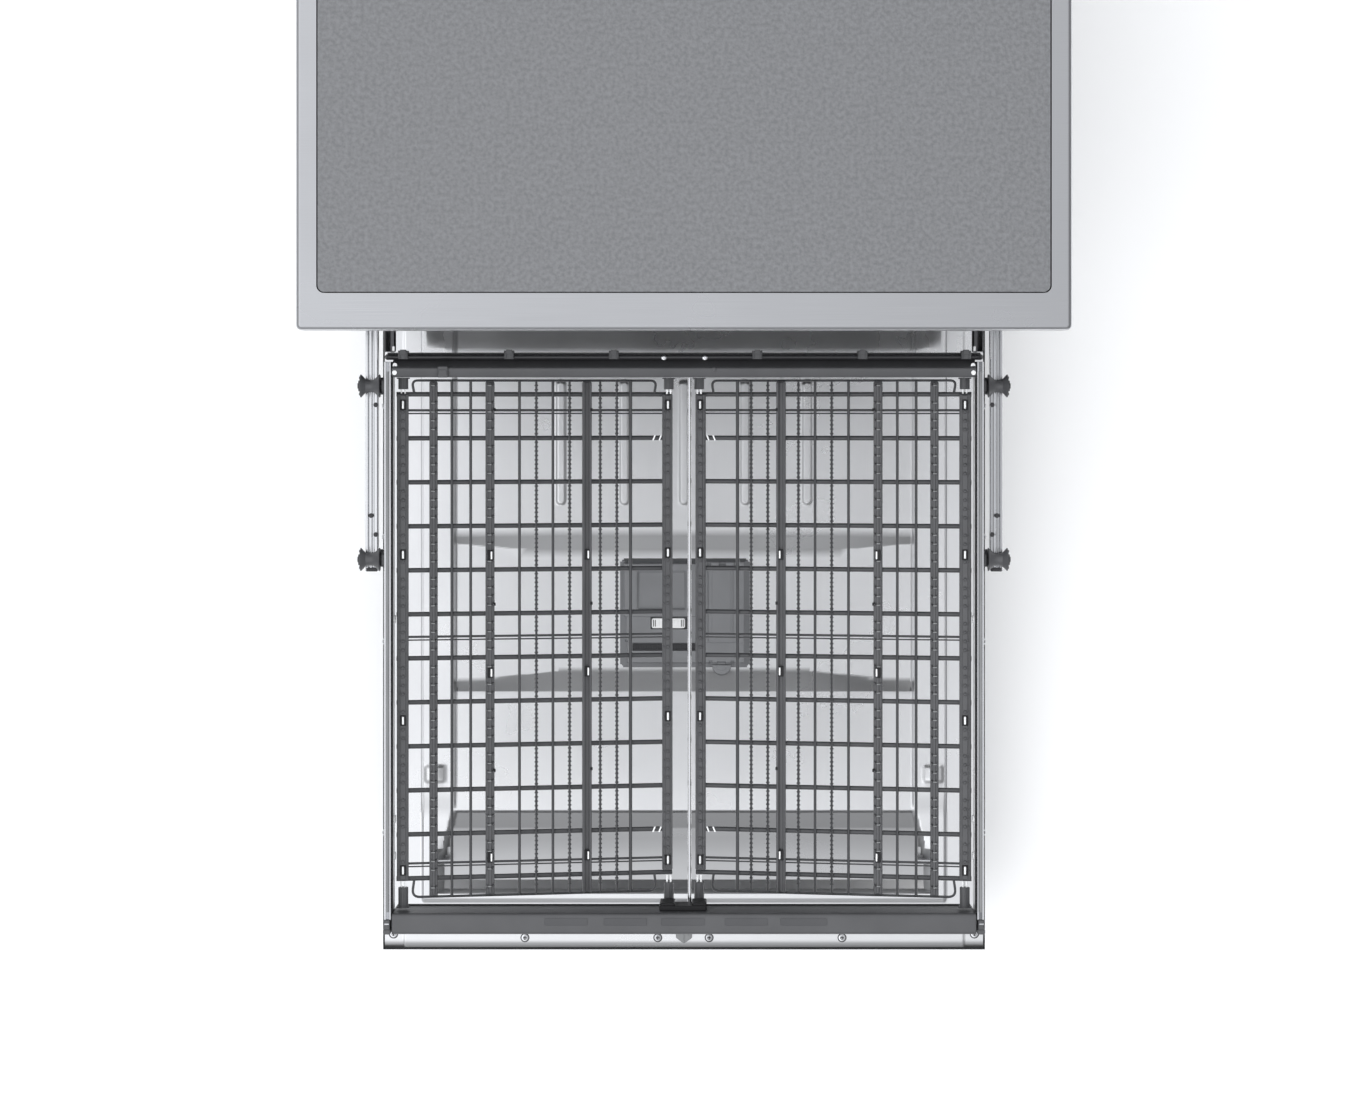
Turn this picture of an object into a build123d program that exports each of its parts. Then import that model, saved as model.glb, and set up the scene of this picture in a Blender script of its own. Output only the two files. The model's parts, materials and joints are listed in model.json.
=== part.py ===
from build123d import *

import os
from math import cos, pi, radians, sin, tan

# A free-standing dishwasher with its door lowered flat and its cutlery rack pulled out over the door.
# Millimetres. +Z is up, -Y is the front, +X is to the right when the
# machine is seen from its front.
# The origin is on the floor, midway between the lowered door's tip and the back of the worktop.

# --- driving dimensions -----------------------------------------------------------------------

WIDTH = 600  # the worktop; the body under it is 2 mm narrower
DEPTH = 600  # the worktop, from its front edge at Y = 0 to its back
HEIGHT = 850
WORKTOP_THICKNESS = 32
WORKTOP_SIDE_BAND = 16
WORKTOP_FRONT_BAND = 28.6
INLAY_SINK = 0.3  # the inlay lies this far below the frame's top

BODY_HALF = WIDTH / 2 - 1
BODY_FRONT = 48  # front plane of the side panels and the tub flange
BODY_BACK = 590
SHEET = 0.8  # steel sheet of the casing and the tub
SEAM = 0.02  # between pieces that are welded or clipped edge to edge
PLASTIC = 3  # wall of the plastic base and sump

PIVOT_Y = 45  # the door turns about this line
PIVOT_Z = 169
PIN_R = 4
DOOR_TIP = -600  # front end of the lowered door
DOOR_HEEL = 70  # rear end of the lowered door, just past the pivot
DOOR_UNDER = 124  # outer face of the lowered door
DOOR_TOP = 170  # inner flange of the lowered door
CONTROL_DEPTH = 89  # control panel, along the door

TUB_HALF = 272
TUB_FRONT = 76
TUB_BACK = 566
TUB_FLOOR = 170
TUB_CEILING = 808
BASE_TOP = 120
KICK_TOP = 114
FOOT_HEIGHT = 30

TRACK_Z = 182  # what the lower rack's wheels roll on, in the tub and on the door
TRACK_INNER = 227
TRACK_OUTER = 260

PUMP_CENTRE_Y = 320  # spray arms and riser share this axis
SUMP_Y = 260
SALT_X = -150
SALT_Y = 190

CUTLERY_TRAVEL = 560  # rack, from home to fully out; the middle rails go half as far
RACK_HALF = 243.5
RACK_REAR = -15
RACK_FRONT = -487
RACK_BAR_REAR = -470
RACK_TOP = 735
RAIL_LOW = 705
MID_RAIL_INNER = 250
MID_RAIL_OUTER = 260.5
MID_RAIL_LOW = 700
MID_RAIL_HIGH = 712
MID_RAIL_FRONT = -194
MID_RAIL_LENGTH = 470
ROLLER_YS = (-42.6, -184)
ROLLER_CORE_R = 6
ROLLER_FLANGE_R = 9.5

TRAY_TILT = 9.3  # degrees, each tray falls towards the middle of the rack
TRAY_OUTER_X = 235
TRAY_OUTER_Z = 716
CROSS_WIRE_R = 2
LONG_WIRE_R = 1
WIRE_GAP = 0.02  # between layers of wire, which are welded where they cross
CROSS_WIRE_FIRST = -49.4
CROSS_WIRE_PITCH = 35.93
CROSS_WIRE_COUNT = 12

SQUARE_TURN = 90


# --- small helpers, all for use inside a BuildPart block ---------------------------------------

def block(x0, x1, y0, y1, z0, z1, mode=Mode.ADD):
    """A box between two corners."""
    with Locations(((x0 + x1) / 2, (y0 + y1) / 2, (z0 + z1) / 2)):
        Box(x1 - x0, y1 - y0, z1 - z0, mode=mode)


def blocks_both_sides(x0, x1, y0, y1, z0, z1, mode=Mode.ADD):
    """The same box at +X and at -X."""
    middle_y = (y0 + y1) / 2
    middle_z = (z0 + z1) / 2
    middle_x = (x0 + x1) / 2
    with Locations((middle_x, middle_y, middle_z), (-middle_x, middle_y, middle_z)):
        Box(x1 - x0, y1 - y0, z1 - z0, mode=mode)


def rods_x(length, radius, centres, mode=Mode.ADD):
    """Round bars along X."""
    with Locations(*centres):
        Cylinder(radius, length, rotation=(0, SQUARE_TURN, 0), mode=mode)


def rods_y(length, radius, centres, mode=Mode.ADD):
    """Round bars along Y."""
    with Locations(*centres):
        Cylinder(radius, length, rotation=(SQUARE_TURN, 0, 0), mode=mode)


def rods_z(length, radius, centres, mode=Mode.ADD):
    """Upright round bars."""
    with Locations(*centres):
        Cylinder(radius, length, mode=mode)


def spread(first, last, count):
    """Evenly spaced values, both ends included."""
    step = (last - first) / (count - 1)
    return [first + step * index for index in range(count)]


def save(builder, name):
    """Labels a finished piece and writes its STEP file."""
    builder.part.label = name
    export_step(builder.part, f"parts/{name}.step")


os.makedirs("parts", exist_ok=True)


# --- worktop ----------------------------------------------------------------------------------

WORKTOP_UNDER = HEIGHT - WORKTOP_THICKNESS
INLAY_WIDTH = WIDTH - 2 * WORKTOP_SIDE_BAND
INLAY_DEPTH = DEPTH - WORKTOP_FRONT_BAND - WORKTOP_SIDE_BAND
INLAY_Y = WORKTOP_FRONT_BAND + INLAY_DEPTH / 2
INLAY_CORNER = 6
INLAY_GAP = 0.8
INLAY_UNDER = 830
LEDGE = 10  # the frame's inner ledge, which carries the inlay board

with BuildPart() as worktop_frame:
    block(-WIDTH / 2, WIDTH / 2, 0, DEPTH, WORKTOP_UNDER, HEIGHT)
    fillet(worktop_frame.edges().filter_by(Axis.Z), radius=4)
    fillet(worktop_frame.faces().sort_by(Axis.Z)[-1].edges(), radius=3.5)
    fillet(worktop_frame.faces().sort_by(Axis.Z)[0].edges(), radius=1.5)
    with BuildSketch(Plane.XY.offset(HEIGHT)):
        with Locations((0, INLAY_Y)):
            RectangleRounded(INLAY_WIDTH, INLAY_DEPTH, INLAY_CORNER)
    extrude(amount=INLAY_UNDER - HEIGHT, mode=Mode.SUBTRACT)
    with BuildSketch(Plane.XY.offset(INLAY_UNDER)):
        with Locations((0, INLAY_Y)):
            Rectangle(INLAY_WIDTH - 2 * LEDGE, INLAY_DEPTH - 2 * LEDGE)
    extrude(amount=WORKTOP_UNDER - INLAY_UNDER, mode=Mode.SUBTRACT)
save(worktop_frame, "worktop_frame")

with BuildPart() as worktop_inlay:
    with BuildSketch(Plane.XY.offset(INLAY_UNDER)):
        with Locations((0, INLAY_Y)):
            RectangleRounded(
                INLAY_WIDTH - 2 * INLAY_GAP, INLAY_DEPTH - 2 * INLAY_GAP, INLAY_CORNER - INLAY_GAP
            )
    extrude(amount=HEIGHT - INLAY_SINK - INLAY_UNDER)
    fillet(worktop_inlay.faces().sort_by(Axis.Z)[-1].edges(), radius=0.5)
save(worktop_inlay, "worktop_inlay")


# --- casing -----------------------------------------------------------------------------------

FLANGE = 14  # folded front edge of each side panel
SPIGOT_Z = 90
INLET_X = -220
INLET_R = 13
DRAIN_X = 230
DRAIN_R = 10
DRAIN_SHOULDER = 582  # behind this the drain pipe is thinner
HINGE_NOTCH_TOP = 184  # below this the casing stands back to let the door's heel turn

for side, name in ((-1, "left_side_panel"), (1, "right_side_panel")):
    with BuildPart() as side_panel:
        outer = side * BODY_HALF
        inner = side * (BODY_HALF - SHEET)
        fold = side * (BODY_HALF - FLANGE)
        block(min(outer, inner), max(outer, inner), BODY_FRONT, BODY_BACK, FOOT_HEIGHT, WORKTOP_UNDER)
        block(
            min(outer, fold), max(outer, fold), BODY_FRONT, BODY_FRONT + SHEET,
            HINGE_NOTCH_TOP, WORKTOP_UNDER,
        )
        block(
            -WIDTH, WIDTH, 0, TUB_FRONT, 0, HINGE_NOTCH_TOP, mode=Mode.SUBTRACT,
        )
    save(side_panel, name)

with BuildPart() as back_panel:
    back_half = BODY_HALF - SHEET
    block(-back_half, back_half, BODY_BACK - SHEET, BODY_BACK, BASE_TOP, WORKTOP_UNDER)
    with BuildSketch(Plane.XZ.offset(-BODY_BACK)):
        with GridLocations(40, 14, 9, 4):
            SlotOverall(28, 5)
    extrude(amount=2 * SHEET, mode=Mode.SUBTRACT, both=True)
save(back_panel, "back_panel")

base_half = BODY_HALF - SHEET
base_back = BODY_BACK - SHEET
floor_top = FOOT_HEIGHT + PLASTIC
wall_foot = floor_top + SEAM
with BuildPart() as base_tray:
    block(-base_half, base_half, TUB_FRONT, base_back, FOOT_HEIGHT, floor_top)
    blocks_both_sides(
        base_half - PLASTIC, base_half, TUB_FRONT + PLASTIC + SEAM, base_back - PLASTIC - SEAM,
        wall_foot, BASE_TOP,
    )
    block(-base_half, base_half, TUB_FRONT, TUB_FRONT + PLASTIC, wall_foot, BASE_TOP)
    block(-base_half, base_half, base_back - PLASTIC, base_back, wall_foot, BASE_TOP)
    rods_y(60, INLET_R + 1, [(INLET_X, base_back, SPIGOT_Z)], mode=Mode.SUBTRACT)
    rods_y(60, DRAIN_R + 1, [(DRAIN_X, base_back, SPIGOT_Z)], mode=Mode.SUBTRACT)
save(base_tray, "base_tray")

with BuildPart() as kick_plate:
    block(-base_half, base_half, 60, 62, FOOT_HEIGHT - 8, KICK_TOP)
    blocks_both_sides(base_half - 2, base_half, 62 + SEAM, TUB_FRONT, FOOT_HEIGHT - 8, KICK_TOP)
    blocks_both_sides(90, 92, 62 + SEAM, TUB_FRONT, FOOT_HEIGHT + 10, KICK_TOP - 20)
save(kick_plate, "kick_plate")

FOOT_X = 262
FOOT_YS = (110, 555)
foot_points = [(x, y) for x in (-FOOT_X, FOOT_X) for y in FOOT_YS]
with BuildPart() as levelling_feet:
    rods_z(10, 20, [(x, y, 5) for x, y in foot_points])
    rods_z(FOOT_HEIGHT - 10, 6, [(x, y, 10 + (FOOT_HEIGHT - 10) / 2) for x, y in foot_points])
save(levelling_feet, "levelling_feet")

with BuildPart() as counterweight:
    block(-150, 150, 500, 565, FOOT_HEIGHT + PLASTIC, 98)
    fillet(counterweight.edges().filter_by(Axis.Z), radius=12)
save(counterweight, "counterweight")


# --- tub --------------------------------------------------------------------------------------

FILTER_R = 48
RISER_R = 12
CAP_R = 36
TUB_LIP = BODY_HALF - FLANGE - 0.5

with BuildPart() as tub:
    blocks_both_sides(TUB_HALF, TUB_HALF + SHEET, BODY_FRONT, TUB_BACK, TUB_FLOOR, TUB_CEILING)
    blocks_both_sides(TUB_HALF - 1, TUB_HALF + 2, 0, TUB_FRONT, 0, HINGE_NOTCH_TOP - 8, mode=Mode.SUBTRACT)
    block(
        -TUB_HALF - SHEET, TUB_HALF + SHEET, BODY_FRONT, TUB_BACK, TUB_CEILING + SEAM,
        TUB_CEILING + SEAM + SHEET,
    )
    block(
        -TUB_HALF - SHEET, TUB_HALF + SHEET, TUB_BACK + SEAM, TUB_BACK + SEAM + SHEET,
        TUB_FLOOR, TUB_CEILING,
    )
    block(
        -TUB_HALF - SHEET, TUB_HALF + SHEET, TUB_FRONT, TUB_BACK, TUB_FLOOR - SHEET - SEAM,
        TUB_FLOOR - SEAM,
    )
    with Locations((0, SUMP_Y - 60, TUB_FLOOR)):
        Cylinder(FILTER_R + 2, 20, mode=Mode.SUBTRACT)
    with Locations((0, PUMP_CENTRE_Y, TUB_FLOOR)):
        Cylinder(RISER_R + 0.5, 20, mode=Mode.SUBTRACT)
    with Locations((SALT_X, SALT_Y, TUB_FLOOR)):
        Cylinder(CAP_R - 5, 20, mode=Mode.SUBTRACT)
    blocks_both_sides(
        TRACK_INNER, TUB_HALF - SEAM, TUB_FRONT, TUB_BACK - SEAM, TUB_FLOOR, TRACK_Z,
    )
    blocks_both_sides(
        TUB_HALF + SHEET + SEAM, TUB_LIP, BODY_FRONT, BODY_FRONT + SHEET, HINGE_NOTCH_TOP, TUB_CEILING,
    )
    block(
        -TUB_LIP, TUB_LIP, BODY_FRONT, BODY_FRONT + SHEET, TUB_CEILING + SHEET + 2 * SEAM, WORKTOP_UNDER,
    )
save(tub, "tub")

GASKET_INNER = TUB_HALF + 1
GASKET_OUTER = TUB_HALF + 8
with BuildPart() as tub_gasket:
    blocks_both_sides(
        GASKET_INNER, GASKET_OUTER, BODY_FRONT - 1.6, BODY_FRONT, HINGE_NOTCH_TOP, TUB_CEILING + 1,
    )
    block(
        -GASKET_OUTER, GASKET_OUTER, BODY_FRONT - 1.6, BODY_FRONT, TUB_CEILING + 1 + SEAM, TUB_CEILING + 8,
    )
save(tub_gasket, "tub_gasket")

with BuildPart() as door_strike:
    block(-22, 22, 56, 72, 798, TUB_CEILING)
    block(-14, 14, 50, 68, 796, 804, mode=Mode.SUBTRACT)
save(door_strike, "door_strike")

FIXED_RAIL_INNER = 266.5
PAD_INNER = MID_RAIL_OUTER + 0.3
with BuildPart() as cutlery_fixed_rails:
    blocks_both_sides(FIXED_RAIL_INNER, TUB_HALF, 80, TUB_BACK, 698, 714)
    for pad_y in (92, 232):
        blocks_both_sides(PAD_INNER, FIXED_RAIL_INNER, pad_y, pad_y + 24, 701, 708)
save(cutlery_fixed_rails, "cutlery_fixed_rails")

UPPER_RUNNER_Z = 520
with BuildPart() as upper_fixed_rails:
    blocks_both_sides(268, TUB_HALF, 80, 560, UPPER_RUNNER_Z - 10, UPPER_RUNNER_Z + 10)
    blocks_both_sides(256, 268, 80, 560, UPPER_RUNNER_Z - 10, UPPER_RUNNER_Z - 8)
    blocks_both_sides(256, 268, 80, 560, UPPER_RUNNER_Z + 8, UPPER_RUNNER_Z + 10)
save(upper_fixed_rails, "upper_fixed_rails")


# --- water system under the tub -----------------------------------------------------------------

with BuildPart() as sump_bowl:
    with BuildSketch(Plane.XY.offset(112)):
        with Locations((0, SUMP_Y)):
            Circle(112)
    extrude(amount=TUB_FLOOR - SHEET - 0.5 - 112)
    with BuildSketch(Plane.XY.offset(112 + PLASTIC)):
        with Locations((0, SUMP_Y)):
            Circle(112 - PLASTIC)
    extrude(amount=80, mode=Mode.SUBTRACT)
    rods_z(196 - 115, RISER_R, [(0, PUMP_CENTRE_Y, 115 + (196 - 115) / 2)])
    rods_z(90, RISER_R - 3, [(0, PUMP_CENTRE_Y, 165)], mode=Mode.SUBTRACT)
save(sump_bowl, "sump_bowl")

CUP_Y = SUMP_Y - 60
CUP_R = FILTER_R - 17  # from the centre to the flat inner faces of the eight-sided cup
CUP_WALL = 3
CUP_SIDES = 8
CUP_FLOOR = 122
RIM_UNDER = TUB_FLOOR - 1
RIM_FLANGE = TUB_FLOOR + 0.3
STAVE_LOW = CUP_FLOOR + CUP_WALL
STAVE_HIGH = RIM_UNDER - SEAM
STAVE_WIDTH = 2 * CUP_R * tan(pi / CUP_SIDES) - SEAM
HALF_SIDE = 180 / CUP_SIDES
with BuildPart() as filter_cup:
    rods_z(CUP_WALL - SEAM, CUP_R + CUP_WALL, [(0, CUP_Y, CUP_FLOOR + (CUP_WALL - SEAM) / 2)])
    with Locations((0, CUP_Y, (STAVE_LOW + STAVE_HIGH) / 2)):
        with PolarLocations(CUP_R + CUP_WALL / 2, CUP_SIDES):
            Box(CUP_WALL, STAVE_WIDTH, STAVE_HIGH - STAVE_LOW)
    for rim_radius, rim_low, rim_high in (
        (FILTER_R, RIM_UNDER, RIM_FLANGE - SEAM),
        (FILTER_R + 8, RIM_FLANGE, RIM_FLANGE + CUP_WALL),
    ):
        with BuildSketch(Plane.XY.offset(rim_low)):
            with Locations((0, CUP_Y)):
                Circle(rim_radius)
                RegularPolygon(CUP_R, CUP_SIDES, major_radius=False, rotation=HALF_SIDE, mode=Mode.SUBTRACT)
                with PolarLocations(0, CUP_SIDES // 2, start_angle=HALF_SIDE, angular_range=180):
                    Rectangle(3 * FILTER_R, SEAM, mode=Mode.SUBTRACT)
        extrude(amount=rim_high - rim_low)
    grip_end = CUP_R - SEAM
    block(-grip_end, grip_end, CUP_Y - 2, CUP_Y + 2, TUB_FLOOR - 6, TUB_FLOOR + 12)
save(filter_cup, "filter_cup")

with BuildPart() as circulation_pump:
    rods_x(120, 42, [(60, 420, 78)])
    rods_x(30, 48, [(-15, 420, 82)])
    rods_y(60, 14, [(-15, 352, 88)])
save(circulation_pump, "circulation_pump")

with BuildPart() as drain_pump:
    rods_x(80, 28, [(200, 200, 64)])
    rods_x(18, 34, [(152, 200, 68)])
    rods_y(DRAIN_SHOULDER - 200, DRAIN_R - 1.5, [(DRAIN_X, (DRAIN_SHOULDER + 200) / 2, SPIGOT_Z)])
    rods_y(DEPTH - DRAIN_SHOULDER, DRAIN_R, [(DRAIN_X, (DEPTH + DRAIN_SHOULDER) / 2, SPIGOT_Z)])
    rods_y(20, DRAIN_R - 2, [(DRAIN_X, DEPTH, SPIGOT_Z)], mode=Mode.SUBTRACT)
save(drain_pump, "drain_pump")

with BuildPart() as inlet_valve:
    block(-240, -200, 540, 585, 60, 116)
    rods_y(DEPTH - 580, INLET_R, [(INLET_X, (DEPTH + 580) / 2, SPIGOT_Z)])
    rods_y(20, INLET_R - 4, [(INLET_X, DEPTH, SPIGOT_Z)], mode=Mode.SUBTRACT)
save(inlet_valve, "inlet_valve")

with BuildPart() as softener_tank:
    block(-235, -116, 110, 300, 60, TUB_FLOOR - SHEET - 0.5)
    fillet(softener_tank.edges().filter_by(Axis.Z), radius=10)
    rods_z(12, CAP_R - 6, [(SALT_X, SALT_Y, TUB_FLOOR - 4)])
save(softener_tank, "softener_tank")

with BuildPart() as salt_cap:
    with BuildSketch(Plane.XY.offset(TUB_FLOOR + 2.4)):
        with Locations((SALT_X, SALT_Y)):
            Circle(CAP_R)
    extrude(amount=7)
    fillet(salt_cap.faces().sort_by(Axis.Z)[-1].edges(), radius=2)
    block(SALT_X - 26, SALT_X + 26, SALT_Y - 4, SALT_Y + 4, TUB_FLOOR + 8, TUB_FLOOR + 16)
save(salt_cap, "salt_cap")


def build_spray_arm(name, under, reach, hub_radius, hub_low, hub_high):
    """A two-bladed spray arm turning about the riser's axis, nozzles on its upper face."""
    with BuildPart() as spray_arm:
        with BuildSketch(Plane.XY.offset(under)):
            with Locations((0, PUMP_CENTRE_Y)):
                SlotOverall(2 * reach, 34)
                Circle(30)
        extrude(amount=9)
        fillet(spray_arm.faces().sort_by(Axis.Z)[-1].edges(), radius=3)
        rods_z(hub_high - hub_low, hub_radius, [(0, PUMP_CENTRE_Y, (hub_low + hub_high) / 2)])
        nozzles = [(x, PUMP_CENTRE_Y, under + 9) for x in spread(-reach + 20, reach - 20, 8)]
        rods_z(4, 2.5, nozzles, mode=Mode.SUBTRACT)
    save(spray_arm, name)


LOWER_ARM_Z = 198
UPPER_ARM_Z = 446
TOP_ARM_Z = 782
build_spray_arm("lower_spray_arm", LOWER_ARM_Z, 214, 18, LOWER_ARM_Z - 1.5, LOWER_ARM_Z + 14)
build_spray_arm("upper_spray_arm", UPPER_ARM_Z, 214, 16, UPPER_ARM_Z - 2, UPPER_ARM_Z + 13)
build_spray_arm("top_spray_arm", TOP_ARM_Z, 190, 16, TOP_ARM_Z, TOP_ARM_Z + 13)

with BuildPart() as top_arm_feed:
    rods_z(TUB_CEILING - TOP_ARM_Z - 13.3, 12, [(0, PUMP_CENTRE_Y, (TUB_CEILING + TOP_ARM_Z + 13.3) / 2)])
    block(-14, 14, PUMP_CENTRE_Y, TUB_BACK, TUB_CEILING - 8, TUB_CEILING)
    block(-14, 14, TUB_BACK - 10, TUB_BACK, 260, TUB_CEILING - 8)
save(top_arm_feed, "top_arm_feed")


# --- hinges -----------------------------------------------------------------------------------

ARM_INNER = 288
ARM_OUTER = 291.5
BRACKET_INNER = 292
BRACKET_OUTER = 294.5
EYE_R = 12

with BuildPart() as hinge_brackets:
    for side in (-1, 1):
        rods_x(
            BRACKET_OUTER - BRACKET_INNER, EYE_R,
            [(side * (BRACKET_INNER + BRACKET_OUTER) / 2, PIVOT_Y, PIVOT_Z)],
        )
    blocks_both_sides(BRACKET_INNER, BRACKET_OUTER, PIVOT_Y, 100, PIVOT_Z - EYE_R, PIVOT_Z + EYE_R)
    blocks_both_sides(BRACKET_OUTER, BODY_HALF - SHEET, 80, 100, PIVOT_Z - EYE_R, PIVOT_Z + EYE_R)
    rods_x(2 * WIDTH, PIN_R + WIRE_GAP, [(0, PIVOT_Y, PIVOT_Z)], mode=Mode.SUBTRACT)
save(hinge_brackets, "hinge_brackets")

PIN_INNER = 286.5
PIN_OUTER = 296
with BuildPart() as hinge_pins:
    pin_middle = (PIN_INNER + PIN_OUTER) / 2
    rods_x(PIN_OUTER - PIN_INNER, PIN_R, [(x, PIVOT_Y, PIVOT_Z) for x in (-pin_middle, pin_middle)])
save(hinge_pins, "hinge_pins")

with BuildPart() as hinge_arms:
    arm_middle = (ARM_INNER + ARM_OUTER) / 2
    rods_x(ARM_OUTER - ARM_INNER, EYE_R, [(x, PIVOT_Y, PIVOT_Z) for x in (-arm_middle, arm_middle)])
    blocks_both_sides(ARM_INNER, ARM_OUTER, -80, PIVOT_Y, DOOR_UNDER + SHEET, PIVOT_Z - 3)
    blocks_both_sides(ARM_INNER, ARM_OUTER, -6, PIVOT_Y, PIVOT_Z - 3, PIVOT_Z + 2)
    rods_x(2 * WIDTH, PIN_R + 0.06, [(0, PIVOT_Y, PIVOT_Z)], mode=Mode.SUBTRACT)
save(hinge_arms, "hinge_arms")


# --- door -------------------------------------------------------------------------------------

CONTROL_REAR = DOOR_TIP + CONTROL_DEPTH
LINER_SHEET = 1.2
SLOT_INNER = 286.5
SLOT_OUTER = 297

skin_top = DOOR_UNDER + SHEET
with BuildPart() as door_outer_panel:
    block(-BODY_HALF, BODY_HALF, CONTROL_REAR, DOOR_HEEL, DOOR_UNDER, skin_top)
    blocks_both_sides(
        BODY_HALF - SHEET, BODY_HALF, CONTROL_REAR, DOOR_HEEL, skin_top + SEAM, DOOR_TOP - LINER_SHEET - SEAM,
    )
    block(
        -SLOT_INNER, SLOT_INNER, DOOR_HEEL - SHEET, DOOR_HEEL, skin_top + SEAM, DOOR_TOP - LINER_SHEET - SEAM,
    )
save(door_outer_panel, "door_outer_panel")

BUTTON_R = 5.5
BUTTON_Y = DOOR_TIP + 30
BUTTONS = {"power_button": -240, "start_button": 240}
DISPLAY_HALF = 34
GRIP_HALF = 70

with BuildPart() as control_panel:
    block(-BODY_HALF, BODY_HALF, DOOR_TIP, CONTROL_REAR - 0.3, DOOR_UNDER, DOOR_TOP - LINER_SHEET)
    fillet(control_panel.faces().sort_by(Axis.Y)[0].edges().filter_by(Axis.X).sort_by(Axis.Z)[0:1], radius=4)
    block(
        -BODY_HALF + PLASTIC, BODY_HALF - PLASTIC, DOOR_TIP + PLASTIC, CONTROL_REAR - PLASTIC,
        DOOR_UNDER + PLASTIC, DOOR_TOP, mode=Mode.SUBTRACT,
    )
    block(
        -GRIP_HALF - PLASTIC, GRIP_HALF + PLASTIC, DOOR_TIP + 30, CONTROL_REAR - PLASTIC,
        DOOR_UNDER, DOOR_UNDER + 26,
    )
    block(
        -GRIP_HALF, GRIP_HALF, DOOR_TIP + 34, CONTROL_REAR - 2 * PLASTIC,
        DOOR_UNDER - 1, DOOR_UNDER + 23, mode=Mode.SUBTRACT,
    )
    rods_z(20, BUTTON_R + 0.4, [(x, BUTTON_Y, DOOR_UNDER) for x in BUTTONS.values()], mode=Mode.SUBTRACT)
    block(-232, 232, CONTROL_REAR - 2 * PLASTIC, CONTROL_REAR + 1, 154, DOOR_TOP, mode=Mode.SUBTRACT)
    block(
        -DISPLAY_HALF + 125, DISPLAY_HALF + 125, BUTTON_Y - 9, BUTTON_Y + 9,
        DOOR_UNDER - 1, DOOR_UNDER + 1.5, mode=Mode.SUBTRACT,
    )
save(control_panel, "control_panel")

with BuildPart() as display_window:
    block(
        -DISPLAY_HALF + 125.3, DISPLAY_HALF + 124.7, BUTTON_Y - 8.7, BUTTON_Y + 8.7,
        DOOR_UNDER + 0.1, DOOR_UNDER + 1.5,
    )
save(display_window, "display_window")

for name, button_x in BUTTONS.items():
    with BuildPart() as button:
        rods_z(9, BUTTON_R, [(button_x, BUTTON_Y, DOOR_UNDER + 3)])
        fillet(button.faces().sort_by(Axis.Z)[0].edges(), radius=1)
        rods_z(2, BUTTON_R + 2, [(button_x, BUTTON_Y, DOOR_UNDER + PLASTIC + 1.4)])
    save(button, name)

PAN_Z = 176  # middle of the liner, round the dispenser
PAN_FRONT = -462
RECESS_Z = 158  # the hollow in front of the pan
RECESS_FRONT = -548
LEDGE_Z = 172
PRESS_REAR = 58

with BuildPart() as door_liner:
    block(-BODY_HALF, BODY_HALF, DOOR_TIP, DOOR_HEEL, DOOR_TOP - LINER_SHEET, DOOR_TOP)
    block(
        -TRACK_OUTER - 2, TRACK_OUTER + 2, RECESS_FRONT - 2, PRESS_REAR, DOOR_TOP - LINER_SHEET, TRACK_Z,
    )
    block(
        -TRACK_OUTER, TRACK_OUTER, PAN_FRONT, PRESS_REAR - LINER_SHEET, 160, TRACK_Z - LINER_SHEET,
        mode=Mode.SUBTRACT,
    )
    block(-TRACK_INNER, TRACK_INNER, PAN_FRONT, 30, PAN_Z, TRACK_Z + 5, mode=Mode.SUBTRACT)
    block(-TRACK_INNER - 2, TRACK_INNER + 2, PAN_FRONT, 32, PAN_Z - LINER_SHEET, PAN_Z)
    block(-TRACK_INNER, TRACK_INNER, 30, 32, PAN_Z - LINER_SHEET, TRACK_Z)
    block(
        -TRACK_INNER - 2, TRACK_INNER + 2, RECESS_FRONT - 2, PAN_FRONT, RECESS_Z - LINER_SHEET, TRACK_Z,
    )
    block(
        -TRACK_INNER, TRACK_INNER, RECESS_FRONT, PAN_FRONT - LINER_SHEET, RECESS_Z, TRACK_Z + 5,
        mode=Mode.SUBTRACT,
    )
    block(
        -TRACK_OUTER, -TRACK_INNER - 2, RECESS_FRONT, PAN_FRONT, 160, TRACK_Z - LINER_SHEET,
        mode=Mode.SUBTRACT,
    )
    block(
        TRACK_INNER + 2, TRACK_OUTER, RECESS_FRONT, PAN_FRONT, 160, TRACK_Z - LINER_SHEET,
        mode=Mode.SUBTRACT,
    )
    block(
        -TRACK_INNER, TRACK_INNER, PAN_FRONT - LINER_SHEET, PAN_FRONT + 1, PAN_Z, TRACK_Z + 5,
        mode=Mode.SUBTRACT,
    )
    blocks_both_sides(TRACK_INNER + 6, TRACK_OUTER - 2, -436, -420, TRACK_Z, TRACK_Z + 8)
    blocks_both_sides(SLOT_INNER, SLOT_OUTER, -6, DOOR_HEEL + 5, 160, DOOR_TOP + 5, mode=Mode.SUBTRACT)
    block(-60.5, 62.5, -316, -214, 160, TRACK_Z, mode=Mode.SUBTRACT)
    for rib_x in spread(-122, 122, 5):
        with BuildSketch(Plane.XY.offset(PAN_Z)):
            with Locations((rib_x, -96)):
                SlotOverall(125, 11.5, rotation=SQUARE_TURN)
        extrude(amount=2)
save(door_liner, "door_liner")

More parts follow.
